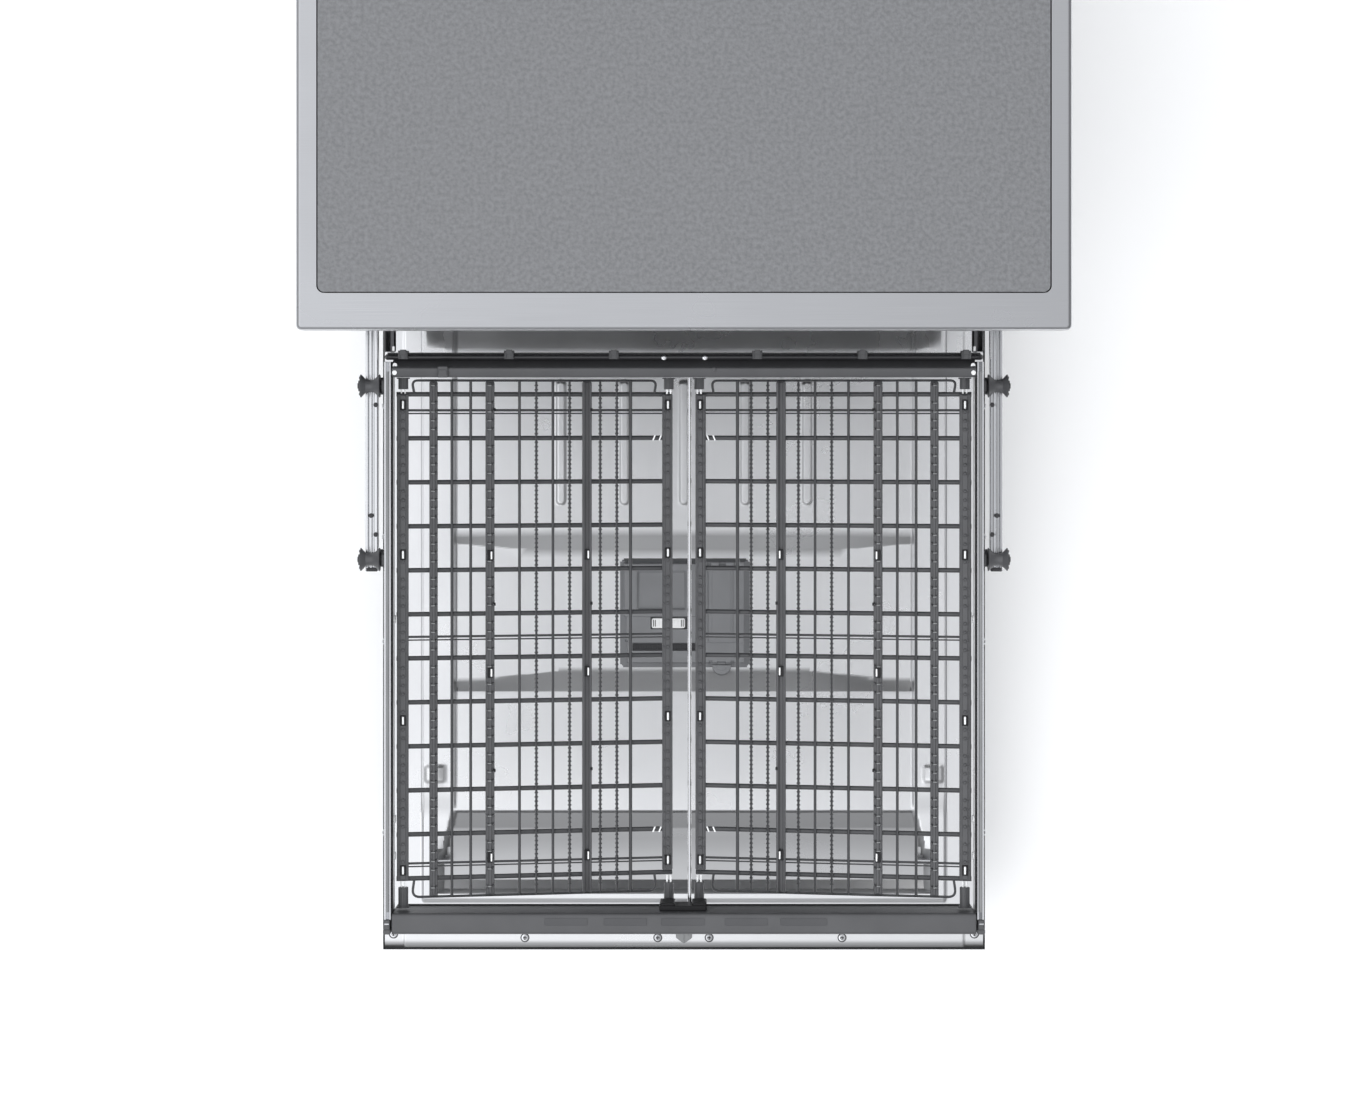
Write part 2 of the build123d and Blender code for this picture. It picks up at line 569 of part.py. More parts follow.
SCREW_XS = (-158, -26, 25, 157)
with BuildPart() as door_screws:
    with Locations(*[(x, DOOR_TIP + 12.5, DOOR_TOP + 0.9) for x in SCREW_XS]):
        Cylinder(3.6, 1.8)
    with Locations(*[(x, DOOR_TIP + 12.5, DOOR_TOP + 1.4) for x in SCREW_XS]):
        Box(3.6, 0.9, 1.2, mode=Mode.SUBTRACT)
        Box(0.9, 3.6, 1.2, mode=Mode.SUBTRACT)
save(door_screws, "door_screws")

with BuildPart() as door_latch:
    with BuildSketch(Plane.XY.offset(DOOR_TOP)):
        with BuildLine():
            Polyline((-8, -574), (8, -574), (8, -588), (1, -593), (-1, -593), (-8, -588), close=True)
        make_face()
    extrude(amount=5)
save(door_latch, "door_latch")


# --- detergent dispenser -------------------------------------------------------------------------

DISPENSER_LEFT = -64
DISPENSER_RIGHT = 66
DISPENSER_REAR = -211
DISPENSER_FRONT = -320
DISPENSER_TOP = 178

with BuildPart() as dispenser_body:
    with BuildSketch(Plane.XY.offset(PAN_Z)):
        with Locations(((DISPENSER_LEFT + DISPENSER_RIGHT) / 2, (DISPENSER_REAR + DISPENSER_FRONT) / 2)):
            RectangleRounded(DISPENSER_RIGHT - DISPENSER_LEFT, DISPENSER_REAR - DISPENSER_FRONT, 8)
    extrude(amount=DISPENSER_TOP - PAN_Z)
    block(-60, 62, -315.5, -214.5, 134, PAN_Z)
    block(-56, 8, -264, -220, 140, DISPENSER_TOP + 1, mode=Mode.SUBTRACT)
    block(-32.4, 1.4, -280.4, -269.6, DISPENSER_TOP - 4, DISPENSER_TOP + 1, mode=Mode.SUBTRACT)
    block(26, 51, -290, -222, 150, DISPENSER_TOP + 1, mode=Mode.SUBTRACT)
save(dispenser_body, "dispenser_body")

with BuildPart() as detergent_lid:
    block(-60, 13, -268.8, -215, DISPENSER_TOP + 0.3, DISPENSER_TOP + 3)
    fillet(detergent_lid.edges().filter_by(Axis.Z), radius=4)
    block(-45, 3, -254, -222, DISPENSER_TOP + 1.6, DISPENSER_TOP + 4, mode=Mode.SUBTRACT)
save(detergent_lid, "detergent_lid")

with BuildPart() as lid_button:
    block(-32, 1, -280, -270, DISPENSER_TOP - 2, DISPENSER_TOP + 3)
    fillet(lid_button.faces().sort_by(Axis.Z)[-1].edges(), radius=1)
save(lid_button, "lid_button")

FLAP_HINGE_Y = -216
FLAP_HINGE_Z = DISPENSER_TOP + 2.6
with BuildPart() as rinse_aid_flap:
    block(22.6, 53.4, -294, FLAP_HINGE_Y, DISPENSER_TOP + 0.4, DISPENSER_TOP + 2.6)
    fillet(rinse_aid_flap.edges().filter_by(Axis.Z), radius=2)
    rods_x(24, 2.2, [(38, FLAP_HINGE_Y, FLAP_HINGE_Z)])
save(rinse_aid_flap, "rinse_aid_flap")


# --- cutlery rack, shown pulled out ---------------------------------------------------------------

SIDE_RAIL_OUTER = 243
SIDE_RAIL_INNER = 237

CENTRE_ROD_R = 1.5
with BuildPart() as cutlery_rails:
    blocks_both_sides(SIDE_RAIL_INNER, SIDE_RAIL_OUTER, RACK_FRONT + 12, RACK_REAR - 8, RAIL_LOW, RACK_TOP)
    blocks_both_sides(
        SIDE_RAIL_INNER - 1, SIDE_RAIL_OUTER - 2, RACK_FRONT + 20, RACK_REAR - 12, RAIL_LOW + 3, RACK_TOP - 3,
        mode=Mode.SUBTRACT,
    )
    rods_y(445.9, CENTRE_ROD_R, [(4.5, -247, 702 - CENTRE_ROD_R - 0.05)])
save(cutlery_rails, "cutlery_rails")

with BuildPart() as cutlery_rear_bar:
    with BuildSketch(Plane.YZ):
        with BuildLine():
            Polyline(
                (-35.5, 702), (-35.5, 733), (-30, RACK_TOP), (-28, RACK_TOP), (-20.5, 720), (-20.5, 702),
                close=True,
            )
        make_face()
    extrude(amount=SIDE_RAIL_INNER - 0.2, both=True)
save(cutlery_rear_bar, "cutlery_rear_bar")

with BuildPart() as cutlery_rear_rod:
    rods_x(2 * RACK_HALF, 2.4, [(0, -19.1, 726)])
    for clip_x in (-228, -142, -57, 59.5, 145, 229):
        block(clip_x - 4, clip_x + 4, -20.45, -14, 718, 731)
save(cutlery_rear_rod, "cutlery_rear_rod")

with BuildPart() as cutlery_front_bar:
    block(-236.8, 236.8, RACK_FRONT, RACK_BAR_REAR, 690, RACK_TOP)
    fillet(cutlery_front_bar.edges().filter_by(Axis.X), radius=3)
save(cutlery_front_bar, "cutlery_front_bar")

BUSH_R = 4.5
BUSH_PLACES = ((229, 716, -447.2, -463), (12.5, 692, -446.8, -460))  # x, z, front bush's two ends
REAR_BUSH = (-36, -47)
RIVET_YS = (-59, -165, -250, -405)
ROLLER_Z = MID_RAIL_HIGH + 0.3 + ROLLER_CORE_R
RAIL_STUB_END = 266
with BuildPart() as cutlery_fittings:
    blocks_both_sides(238.2, SIDE_RAIL_OUTER + 0.3, RACK_FRONT, RACK_FRONT + 12, RAIL_LOW - 3, RACK_TOP)
    for bush_x, bush_z, bush_rear, bush_front in BUSH_PLACES:
        sides = (-bush_x, bush_x)
        rods_y(REAR_BUSH[0] - REAR_BUSH[1], BUSH_R, [(x, sum(REAR_BUSH) / 2, bush_z) for x in sides])
        rods_y(bush_rear - bush_front, BUSH_R, [(x, (bush_rear + bush_front) / 2, bush_z) for x in sides])
        rods_y(bush_front - RACK_BAR_REAR, 2, [(x, (bush_front + RACK_BAR_REAR) / 2, bush_z) for x in sides])
    block(-23, 23, RACK_BAR_REAR, RACK_BAR_REAR + 5.5, 702.2, 722)
    for rivet_y in RIVET_YS:
        rivet_middle = SIDE_RAIL_OUTER + 1.5
        rods_x(3, 2.4, [(x, rivet_y, 726) for x in (-rivet_middle, rivet_middle)])
    for roller_y in ROLLER_YS:
        stub_middle = (SIDE_RAIL_OUTER + RAIL_STUB_END) / 2
        stub_length = RAIL_STUB_END - SIDE_RAIL_OUTER
        rods_x(stub_length, 2.2, [(x, roller_y, ROLLER_Z) for x in (-stub_middle, stub_middle)])
        blocks_both_sides(SIDE_RAIL_OUTER, 247, roller_y - 8, roller_y + 8, 686, ROLLER_Z - 3)
        blocks_both_sides(247, MID_RAIL_OUTER, roller_y - 8, roller_y + 8, 686, MID_RAIL_LOW - 0.4)
save(cutlery_fittings, "cutlery_fittings")

for roller_y, name in zip(ROLLER_YS, ("rear_rollers", "front_rollers")):
    with BuildPart() as rollers:
        for side in (-1, 1):
            rods_x(18, ROLLER_CORE_R, [(side * 256.3, roller_y, ROLLER_Z)])
            rods_x(1.8, ROLLER_FLANGE_R, [(side * 248.2, roller_y, ROLLER_Z)])
            rods_x(3.4, ROLLER_FLANGE_R, [(side * 263.4, roller_y, ROLLER_Z)])
        rods_x(2 * WIDTH, 2.26, [(0, roller_y, ROLLER_Z)], mode=Mode.SUBTRACT)
    save(rollers, name)

with BuildPart() as cutlery_middle_rails:
    mid_rear = MID_RAIL_FRONT + MID_RAIL_LENGTH
    blocks_both_sides(MID_RAIL_INNER, MID_RAIL_OUTER, MID_RAIL_FRONT, mid_rear, MID_RAIL_LOW, MID_RAIL_HIGH)
    blocks_both_sides(
        MID_RAIL_INNER - 1, MID_RAIL_INNER + 4, MID_RAIL_FRONT - 1, mid_rear + 1, MID_RAIL_LOW + 2,
        MID_RAIL_HIGH - 2, mode=Mode.SUBTRACT,
    )
save(cutlery_middle_rails, "cutlery_middle_rails")


# --- the two trays of the cutlery rack ---------------------------------------------------------------
# Inside a tray's blocks X is the distance in from the tray's outer edge, along its slope, Y is the
# machine's own Y, and Z stands square on the tray.

tilt = radians(TRAY_TILT)
TRAY_PLANE = Plane(
    origin=(-TRAY_OUTER_X, 0, TRAY_OUTER_Z),
    x_dir=(cos(tilt), 0, -sin(tilt)),
    z_dir=(sin(tilt), 0, cos(tilt)),
)
TRAY_REAR = -38.1
TRAY_FRONT = -459.8
TRAY_LENGTH = TRAY_REAR - TRAY_FRONT
TRAY_MIDDLE_Y = (TRAY_REAR + TRAY_FRONT) / 2
COMBS = (  # place, width, rear end, front end
    (5.3, 7.4, -49, -446),
    (30.4, 6.5, -40, -458),
    (76.6, 7.3, -40, -458),
    (156.4, 8, -40, -458),
    (223.6, 8.4, -49, -442.5),
)
LONG_WIRES = (45.4, 60.8, 100.9, 114.8, 128.5, 142.3, 167.7, 181.5, 192.9)
CROSS_END = 228
LAYER = CROSS_WIRE_R + WIRE_GAP

cross_wire_ys = [CROSS_WIRE_FIRST - CROSS_WIRE_PITCH * index for index in range(CROSS_WIRE_COUNT)]
thin_wire_ys = (-62.5, -247.5, -432.4)

with BuildPart(TRAY_PLANE) as left_tray_wires:
    rods_x(CROSS_END, CROSS_WIRE_R, [(CROSS_END / 2, y, 0) for y in cross_wire_ys])
    rods_x(CROSS_END - 14, LONG_WIRE_R, [(CROSS_END / 2, y, 0) for y in thin_wire_ys])
    rods_x(184, LONG_WIRE_R, [(118, y, 0) for y in (TRAY_REAR, TRAY_FRONT)])
    long_wire_z = LAYER + LONG_WIRE_R
    rods_y(TRAY_LENGTH, LONG_WIRE_R, [(x, TRAY_MIDDLE_Y, long_wire_z) for x in LONG_WIRES])
save(left_tray_wires, "left_tray_wires")

COMB_TOP = 9
TOOTH_PITCH = 7.2
TOOTH_COUNT = 55
with BuildPart(TRAY_PLANE) as left_tray_combs:
    for comb_x, comb_width, comb_rear, comb_front in COMBS:
        block(comb_x - comb_width / 2, comb_x + comb_width / 2, comb_front, comb_rear, LAYER, COMB_TOP)
        with Locations((comb_x, -249, COMB_TOP)):
            with GridLocations(1, TOOTH_PITCH, 1, TOOTH_COUNT):
                Box(comb_width - 2.4, 3, 4, mode=Mode.SUBTRACT)
save(left_tray_combs, "left_tray_combs")

with BuildPart() as right_tray_wires:
    mirror(left_tray_wires.part, about=Plane.YZ)
save(right_tray_wires, "right_tray_wires")

with BuildPart() as right_tray_combs:
    mirror(left_tray_combs.part, about=Plane.YZ)
save(right_tray_combs, "right_tray_combs")


# --- dish racks inside the tub ---------------------------------------------------------------------

BASKET_WIRE_R = 2
RIM_WIRE_R = 2.6


def build_basket(name, half_width, rear, front, floor_z, top_z, tine_rows, tine_top):
    """An open wire basket: a floor of crossed wires, upright side wires, two rims and rows of tines."""
    middle_y = (rear + front) / 2
    length = rear - front
    step = 2 * BASKET_WIRE_R + WIRE_GAP
    side_step = BASKET_WIRE_R + RIM_WIRE_R + WIRE_GAP
    mid_z = (floor_z + top_z) / 2
    with BuildPart() as basket:
        rods_x(2 * half_width, BASKET_WIRE_R, [(0, y, floor_z) for y in spread(front + 16, rear - 16, 12)])
        floor_xs = spread(20 - half_width, half_width - 20, 12)
        rods_y(length, BASKET_WIRE_R, [(x, middle_y, floor_z + step) for x in floor_xs])
        uprights_y = spread(front + 38, rear - 38, 9)
        for side in (-1, 1):
            upright_x = side * (half_width + BASKET_WIRE_R + WIRE_GAP)
            rods_z(top_z - floor_z, BASKET_WIRE_R, [(upright_x, y, mid_z) for y in uprights_y])
            rim_x = upright_x - side * side_step
            rim_zs = (top_z - 6, mid_z + 4)
            rods_y(length - 12, RIM_WIRE_R, [(rim_x, middle_y, z) for z in rim_zs])
        uprights_x = spread(30 - half_width, half_width - 30, 9)
        for end_y, inward in ((rear, -1), (front, 1)):
            upright_y = end_y - inward * (BASKET_WIRE_R + WIRE_GAP)
            rods_z(top_z - floor_z, BASKET_WIRE_R, [(x, upright_y, mid_z) for x in uprights_x])
            rim_y = upright_y + inward * side_step
            rim_zs = (top_z - 6 - 2 * RIM_WIRE_R - WIRE_GAP, mid_z + 4 - 2 * RIM_WIRE_R - WIRE_GAP)
            rods_x(2 * half_width - 4, RIM_WIRE_R, [(0, rim_y, z) for z in rim_zs])
        tine_low = floor_z + 2 * step - BASKET_WIRE_R
        tines = [
            (x, y, (tine_low + tine_top) / 2) for x in tine_rows for y in spread(front + 40, rear - 40, 9)
        ]
        rods_z(tine_top - tine_low, BASKET_WIRE_R, tines)
    save(basket, name)


BASKET_FRONT = 92
BASKET_REAR = 544
LOWER_FLOOR_Z = 226
UPPER_FLOOR_Z = 478
build_basket("lower_basket", 244, BASKET_REAR, BASKET_FRONT, LOWER_FLOOR_Z, 398, (-205, -60, 60), 300)
build_basket("upper_basket", 246, BASKET_REAR, BASKET_FRONT, UPPER_FLOOR_Z, 628, (-150, -60, 60, 150), 530)

TINE_PIVOT_X = 170
TINE_PIVOT_Z = LOWER_FLOOR_Z + 13
with BuildPart() as folding_tines:
    rods_y(BASKET_REAR - BASKET_FRONT - 40, BASKET_WIRE_R, [(TINE_PIVOT_X, 318, TINE_PIVOT_Z)])
    tine_points = [(TINE_PIVOT_X, y, TINE_PIVOT_Z + BASKET_WIRE_R + 0.02 + 32) for y in spread(130, 506, 9)]
    rods_z(64, BASKET_WIRE_R, tine_points)
save(folding_tines, "folding_tines")

with BuildPart() as upper_runners:
    blocks_both_sides(256.4, 267.6, 88, 548, UPPER_RUNNER_Z - 7.6, UPPER_RUNNER_Z + 7.6)
    for hanger_y in (120, 460):
        hanger_end = hanger_y + 40
        blocks_both_sides(250.2, 256.4 - SEAM, hanger_y, hanger_end, UPPER_RUNNER_Z - 7, UPPER_RUNNER_Z + 7)
        blocks_both_sides(
            250.2, 255.4, hanger_y, hanger_end, UPPER_RUNNER_Z + 7 + SEAM, UPPER_RUNNER_Z + 60,
        )
save(upper_runners, "upper_runners")

with BuildPart() as upper_arm_feed:
    rods_z(14, 12, [(0, PUMP_CENTRE_Y, UPPER_ARM_Z + 13.3 + 7)])
    block(-12, 12, PUMP_CENTRE_Y, BASKET_REAR + 6, UPPER_ARM_Z + 17, UPPER_ARM_Z + 27.3)
save(upper_arm_feed, "upper_arm_feed")

WHEEL_R = 15
WHEEL_X = 243.5
WHEEL_Z = TRACK_Z + 0.3 + WHEEL_R
WHEEL_YS = {"lower_front_wheels": 150, "lower_rear_wheels": 480}
AXLE_R = 3
with BuildPart() as wheel_carriers:
    for wheel_y in WHEEL_YS.values():
        carrier_top = LOWER_FLOOR_Z - BASKET_WIRE_R - WIRE_GAP
        blocks_both_sides(229, 234, wheel_y - 14, wheel_y + 14, WHEEL_Z - 8, carrier_top)
        rods_x(250 - 234, AXLE_R, [(side * 242, wheel_y, WHEEL_Z) for side in (-1, 1)])
save(wheel_carriers, "wheel_carriers")

for name, wheel_y in WHEEL_YS.items():
    with BuildPart() as wheels:
        for side in (-1, 1):
            rods_x(11, WHEEL_R, [(side * 242.5, wheel_y, WHEEL_Z)])
        rods_x(2 * WIDTH, AXLE_R + 0.06, [(0, wheel_y, WHEEL_Z)], mode=Mode.SUBTRACT)
    save(wheels, name)
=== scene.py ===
import json
from itertools import product
from math import cos, pi, radians, sin

import bmesh
import bpy
import numpy as np
from mathutils import Matrix, Vector


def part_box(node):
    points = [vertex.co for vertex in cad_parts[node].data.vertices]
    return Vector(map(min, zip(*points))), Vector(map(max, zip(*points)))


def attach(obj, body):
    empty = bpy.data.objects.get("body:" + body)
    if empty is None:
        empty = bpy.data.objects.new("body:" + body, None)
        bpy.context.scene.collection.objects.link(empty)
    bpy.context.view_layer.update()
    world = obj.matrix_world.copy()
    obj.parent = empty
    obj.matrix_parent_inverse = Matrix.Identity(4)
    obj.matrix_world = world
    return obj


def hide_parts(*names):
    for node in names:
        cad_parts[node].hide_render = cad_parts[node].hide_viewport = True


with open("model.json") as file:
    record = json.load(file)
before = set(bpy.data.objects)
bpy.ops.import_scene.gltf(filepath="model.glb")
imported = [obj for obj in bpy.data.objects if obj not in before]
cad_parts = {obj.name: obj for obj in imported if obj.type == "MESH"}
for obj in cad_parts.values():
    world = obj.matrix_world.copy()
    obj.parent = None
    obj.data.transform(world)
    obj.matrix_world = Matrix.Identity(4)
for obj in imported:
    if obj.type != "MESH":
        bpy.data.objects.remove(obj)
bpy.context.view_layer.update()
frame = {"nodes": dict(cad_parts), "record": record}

# A dishwasher with its door lowered flat and its cutlery rack pulled out. Shapes are written in
# millimetres in the frame's own axes: +X right, -Y front, +Z up. Each becomes a mesh in metres.

MM = 0.001
SIDES = (-1, 1)
EDGE_SHARE = 0.45  # a chamfer or a corner's arc takes at most this share of a side
SHARPEST = 0.35  # keeps a sharp corner from moving too far when an outline shrinks
CLOSEST_LINES = 0.15
LINES_EACH_SIDE = 3  # fine grid lines on each side of a feature


def extents(node):
    """A CAD node's box at rest in millimetres: x0, x1, y0, y1, z0, z1."""
    low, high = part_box(node)
    return [value / MM for pair in zip(low, high) for value in pair]


# --- mesh building ---

class Shape:
    """Gathers faces in millimetres and then becomes one Blender mesh."""

    def __init__(self, plane=None):
        self.bm = bmesh.new()
        self.plane = plane or Matrix.Identity(4)
        self.paint = 0

    def add(self, points, faces):
        """Adds vertices, moved by the shape's plane, and the faces between them."""
        verts = [self.bm.verts.new(self.plane @ Vector(point)) for point in points]
        for face in faces:
            made = self.bm.faces.new([verts[index] for index in face])
            made.material_index = self.paint

    def box(self, x0, x1, y0, y1, z0, z1, edge=0.3):
        """A box with all its edges chamfered."""
        spans = ((x0, x1), (y0, y1), (z0, z1))
        edge = min([edge] + [EDGE_SHARE * (high - low) for low, high in spans])
        corners = list(product((0, 1), repeat=3))
        points = []
        for corner, full in product(corners, range(3)):
            inward = [0 if axis == full else edge for axis in range(3)]
            ends = zip(spans, corner, inward)
            points.append([high - inset if end else low + inset for (low, high), end, inset in ends])
        number = {key: index for index, key in enumerate(product(corners, range(3)))}
        faces = [[number[corner, full] for full in range(3)] for corner in corners]
        for axis in range(3):
            first, second = [other for other in range(3) if other != axis]

            def corner_at(end, a, b):
                spot = {axis: end, first: a, second: b}
                return spot[0], spot[1], spot[2]

            for end in (0, 1):
                turns = ((0, 0), (1, 0), (1, 1), (0, 1))
                faces.append([number[corner_at(end, a, b), axis] for a, b in turns])
            for a, b in product((0, 1), repeat=2):
                near, far = corner_at(0, a, b), corner_at(1, a, b)
                ring = [(near, first), (far, first), (far, second), (near, second)]
                faces.append([number[place] for place in ring])
        self.add(points, faces)

    def strip(self, x, half, y0, y1, z0, z1, edge=0.3):
        """A box centred on an X."""
        self.box(x - half, x + half, y0, y1, z0, z1, edge)

    def block(self, x, y, half_x, half_y, z0, z1, edge=0.3):
        """A box centred on a point in X and Y."""
        self.box(x - half_x, x + half_x, y - half_y, y + half_y, z0, z1, edge)

    def rings(self, rings):
        """Joins rings of equally many points into a skin, with its two ends capped."""
        count = len(rings[0])
        points = [point for ring in rings for point in ring]
        faces = []
        for here in range(0, len(points) - count, count):
            for index in range(count):
                after = (index + 1) % count
                faces.append([here + index, here + after, here + count + after, here + count + index])
        faces.append(list(range(count)))
        faces.append(list(range(len(points) - count, len(points))))
        self.add(points, faces)

    def tube(self, path, radius, sides=12):
        """A round wire that follows a path."""
        path = [Vector(point) for point in path]
        angles = [2 * pi * step / sides for step in range(sides)]
        rings = []
        side = None
        for index, point in enumerate(path):
            along = (path[min(index + 1, len(path) - 1)] - path[max(index - 1, 0)]).normalized()
            if side is None:
                side = along.orthogonal().normalized()
            side = (side - along * side.dot(along)).normalized()
            up = along.cross(side)
            rings.append([point + radius * (cos(a) * side + sin(a) * up) for a in angles])
        self.rings(rings)

    def lathe(self, profile, centre, axis="Z", sides=24):
        """A turned shape. The profile lists (distance along the axis, radius)."""
        rings = []
        for along, radius in profile:
            ring = []
            for step in range(sides):
                a = 2 * pi * step / sides
                u, v = radius * cos(a), radius * sin(a)
                offset = {"X": (along, u, v), "Y": (u, along, v), "Z": (u, v, along)}[axis]
                ring.append([centre[k] + offset[k] for k in range(3)])
            rings.append(ring)
        self.rings(rings)

    def prism(self, outline, low, high, axis="Z", edge=0.3):
        """An outline of (a, b) points drawn out along an axis, with both ends chamfered."""
        inner = shrink(outline, edge)
        levels = [(low, inner), (low + edge, outline), (high - edge, outline), (high, inner)]
        order = {"X": (2, 0, 1), "Y": (0, 2, 1), "Z": (0, 1, 2)}[axis]
        rings = []
        for level, ring in levels:
            rings.append([[(a, b, level)[k] for k in order] for a, b in ring])
        self.rings(rings)

    def relief(self, xs, ys, height, hole=None):
        """A sheet over a grid of lines, at the height that a function of X and Y gives."""
        grid_x, grid_y = np.meshgrid(xs, ys)
        grid_z = height(grid_x, grid_y)
        wide = len(xs)
        points = np.stack([grid_x.ravel(), grid_y.ravel(), grid_z.ravel()], 1).tolist()
        faces = []
        for row, column in product(range(len(ys) - 1), range(wide - 1)):
            middle_x = (xs[column] + xs[column + 1]) / 2
            middle_y = (ys[row] + ys[row + 1]) / 2
            if hole and hole(middle_x, middle_y):
                continue
            first = row * wide + column
            faces.append([first, first + 1, first + wide + 1, first + wide])
        self.add(points, faces)
        loose = [vert for vert in self.bm.verts if not vert.link_faces]
        bmesh.ops.delete(self.bm, geom=loose, context="VERTS")

    def become(self, name, body, replaced, *looks, slot=None, crisp=35):
        """Makes the mesh object, with its body, replaced CAD nodes and materials by name.

        The slot, given or else the first material's, is worked out but not used."""
        slot = slot or looks[0]
        bmesh.ops.recalc_face_normals(self.bm, faces=self.bm.faces)
        bmesh.ops.scale(self.bm, vec=(MM, MM, MM), verts=self.bm.verts)
        mesh = bpy.data.meshes.new(name)
        self.bm.to_mesh(mesh)
        self.bm.free()
        for look in looks:
            mesh.materials.append(LOOKS[look])
        mesh.shade_smooth()
        mesh.set_sharp_from_angle(angle=radians(crisp))
        made = placed(name, mesh)
        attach(made, body)
        if replaced:
            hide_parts(*replaced)
        return made


def placed(name, data):
    """A new object of the scene that holds this data."""
    made = bpy.data.objects.new(name, data)
    bpy.context.scene.collection.objects.link(made)
    return made


def thicken(made, thickness):
    """Gives a single surface its sheet's thickness, downwards."""
    shell = made.modifiers.new("sheet", "SOLIDIFY")
    shell.thickness = thickness * MM
    shell.offset = -1


def both(side, first, second):
    """Two distances from the middle as low and high X on one side."""
    return sorted((side * first, side * second))


def facing(side, profile):
    """A lathe profile along X, turned to face one side."""
    return [(side * along, radius) for along, radius in profile]


def arc(x, y, radius, start, end, steps):
    """Points along an arc from one angle to another."""
    angles = [start + (end - start) * step / steps for step in range(steps + 1)]
    return [(x + radius * cos(a), y + radius * sin(a)) for a in angles]


def shrink(outline, inset):
    """The outline moved inward by a distance, corner by corner."""
    count = len(outline)
    area = sum(Vector(outline[i - 1]).cross(Vector(outline[i])) for i in range(count))
    turn = 1 if area > 0 else -1
    moved = []
    for index, point in enumerate(outline):
        here = Vector(point)
        before, after = Vector(outline[index - 1]), Vector(outline[(index + 1) % count])
        normals = []
        for way in (here - before, after - here):
            way = way.normalized()
            normals.append(turn * Vector((-way.y, way.x)))
        share = max(SHARPEST, 1 + normals[0].dot(normals[1]))
        moved.append(tuple(here + inset * (normals[0] + normals[1]) / share))
    return moved


def rounded(corners, radius, steps=5, closed=True):
    """A path or outline with each corner replaced by an arc."""
    count = len(corners)
    path = []
    for index, corner in enumerate(corners):
        here = Vector(corner)
        if not closed and index in (0, count - 1):
            path.append(tuple(here))
            continue
        arms = [Vector(corners[other % count]) - here for other in (index - 1, index + 1)]
        reach = min([radius] + [EDGE_SHARE * arm.length for arm in arms])
        start, end = [here + arm.normalized() * reach for arm in arms]
        for step in range(steps + 1):
            t = step / steps
            path.append(tuple((1 - t) ** 2 * start + 2 * t * (1 - t) * here + t * t * end))
    return path


def slab(x0, x1, y0, y1, radius=2, steps=4):
    """The outline of a rectangle with rounded corners."""
    return rounded([(x0, y0), (x1, y0), (x1, y1), (x0, y1)], radius, steps)


def spread(first, last, count):
    """Evenly spaced values, both ends included."""
    return [first + (last - first) * step / (count - 1) for step in range(count)]


def grid_lines(low, high, features, fine=1.0, coarse=9.0):
    """Grid lines that crowd round the features and are sparse elsewhere."""
    lines = {low, high}
    for feature in features:
        for step in range(-LINES_EACH_SIDE, LINES_EACH_SIDE + 1):
            value = feature + step * fine
            if low < value < high:
                lines.add(round(value, 3))
    ordered = sorted(lines)
    filled = []
    for here, after in zip(ordered, ordered[1:]):
        parts = max(1, int(np.ceil((after - here) / coarse)))
        filled += [here + (after - here) * part / parts for part in range(parts)]
    filled.append(high)
    kept = [filled[0]]
    for value in filled[1:]:
        if value - kept[-1] > CLOSEST_LINES:
            kept.append(value)
    kept[-1] = high
    return kept


def incline(value, start, end):
    """0 before start and 1 past end, with a straight line between them. Start may be above end."""
    return np.clip((value - start) / (end - start), 0, 1)


def ramp(value, start, end):
    """0 before start and 1 past end, turning smoothly between them. Start may be above end."""
    t = incline(value, start, end)
    return t * t * (3 - 2 * t)


# --- materials ---

LOOKS = {}
BAND = (0.3, 0.7)  # holds nearly all of a noise texture's values
LINES_ACROSS = 2600.0  # brushed lines per metre
LINES_ALONG = 14.0
LINE_DEPTH = 0.00006  # bump depths, in metres
GRAIN_DEPTH = 0.00012
PEBBLE_DEPTH = 0.0003
# the dark tone that the liner's painted shade mixes into its base colour
PAINTED_SHADE_TONE = (0.02, 0.02, 0.021, 1)


def new_material(name, roughness, metallic=0.0):
    """Adds a material to LOOKS under its name and gives its node tree and shader."""
    material = bpy.data.materials.new(name)
    LOOKS[name] = material
    material.use_nodes = True
    shader = material.node_tree.nodes["Principled BSDF"]
    shader.inputs["Roughness"].default_value = roughness
    shader.inputs["Metallic"].default_value = metallic
    return material.node_tree, shader


def add_node(tree, kind, *sources, **settings):
    """A new shader node with these settings, fed by the sources in the order of its inputs."""
    node = tree.nodes.new("ShaderNode" + kind)
    for key, value in settings.items():
        setattr(node, key, value)
    for source, socket in zip(sources, node.inputs):
        tree.links.new(source, socket)
    return node


def noise(tree, frequency, detail=3.0, kind="TexNoise"):
    """Noise in the object's own coordinates. Frequency is per metre, in all or along X, Y and Z."""
    mapping = add_node(tree, "Mapping", add_node(tree, "TexCoord").outputs["Object"])
    mapping.inputs["Scale"].default_value = np.broadcast_to(frequency, 3)
    texture = add_node(tree, kind, mapping.outputs["Vector"])
    texture.inputs["Scale"].default_value = 1.0
    if kind == "TexNoise":
        texture.inputs["Detail"].default_value = detail
    return texture.outputs["Distance" if kind == "TexVoronoi" else "Fac"]


def map_range(tree, source, band, result, **settings):
    """Carries a value from one range to another."""
    node = add_node(tree, "MapRange", source, **settings)
    for key, value in zip(("From Min", "From Max", "To Min", "To Max"), (*band, *result)):
        node.inputs[key].default_value = value
    return node.outputs["Result"]


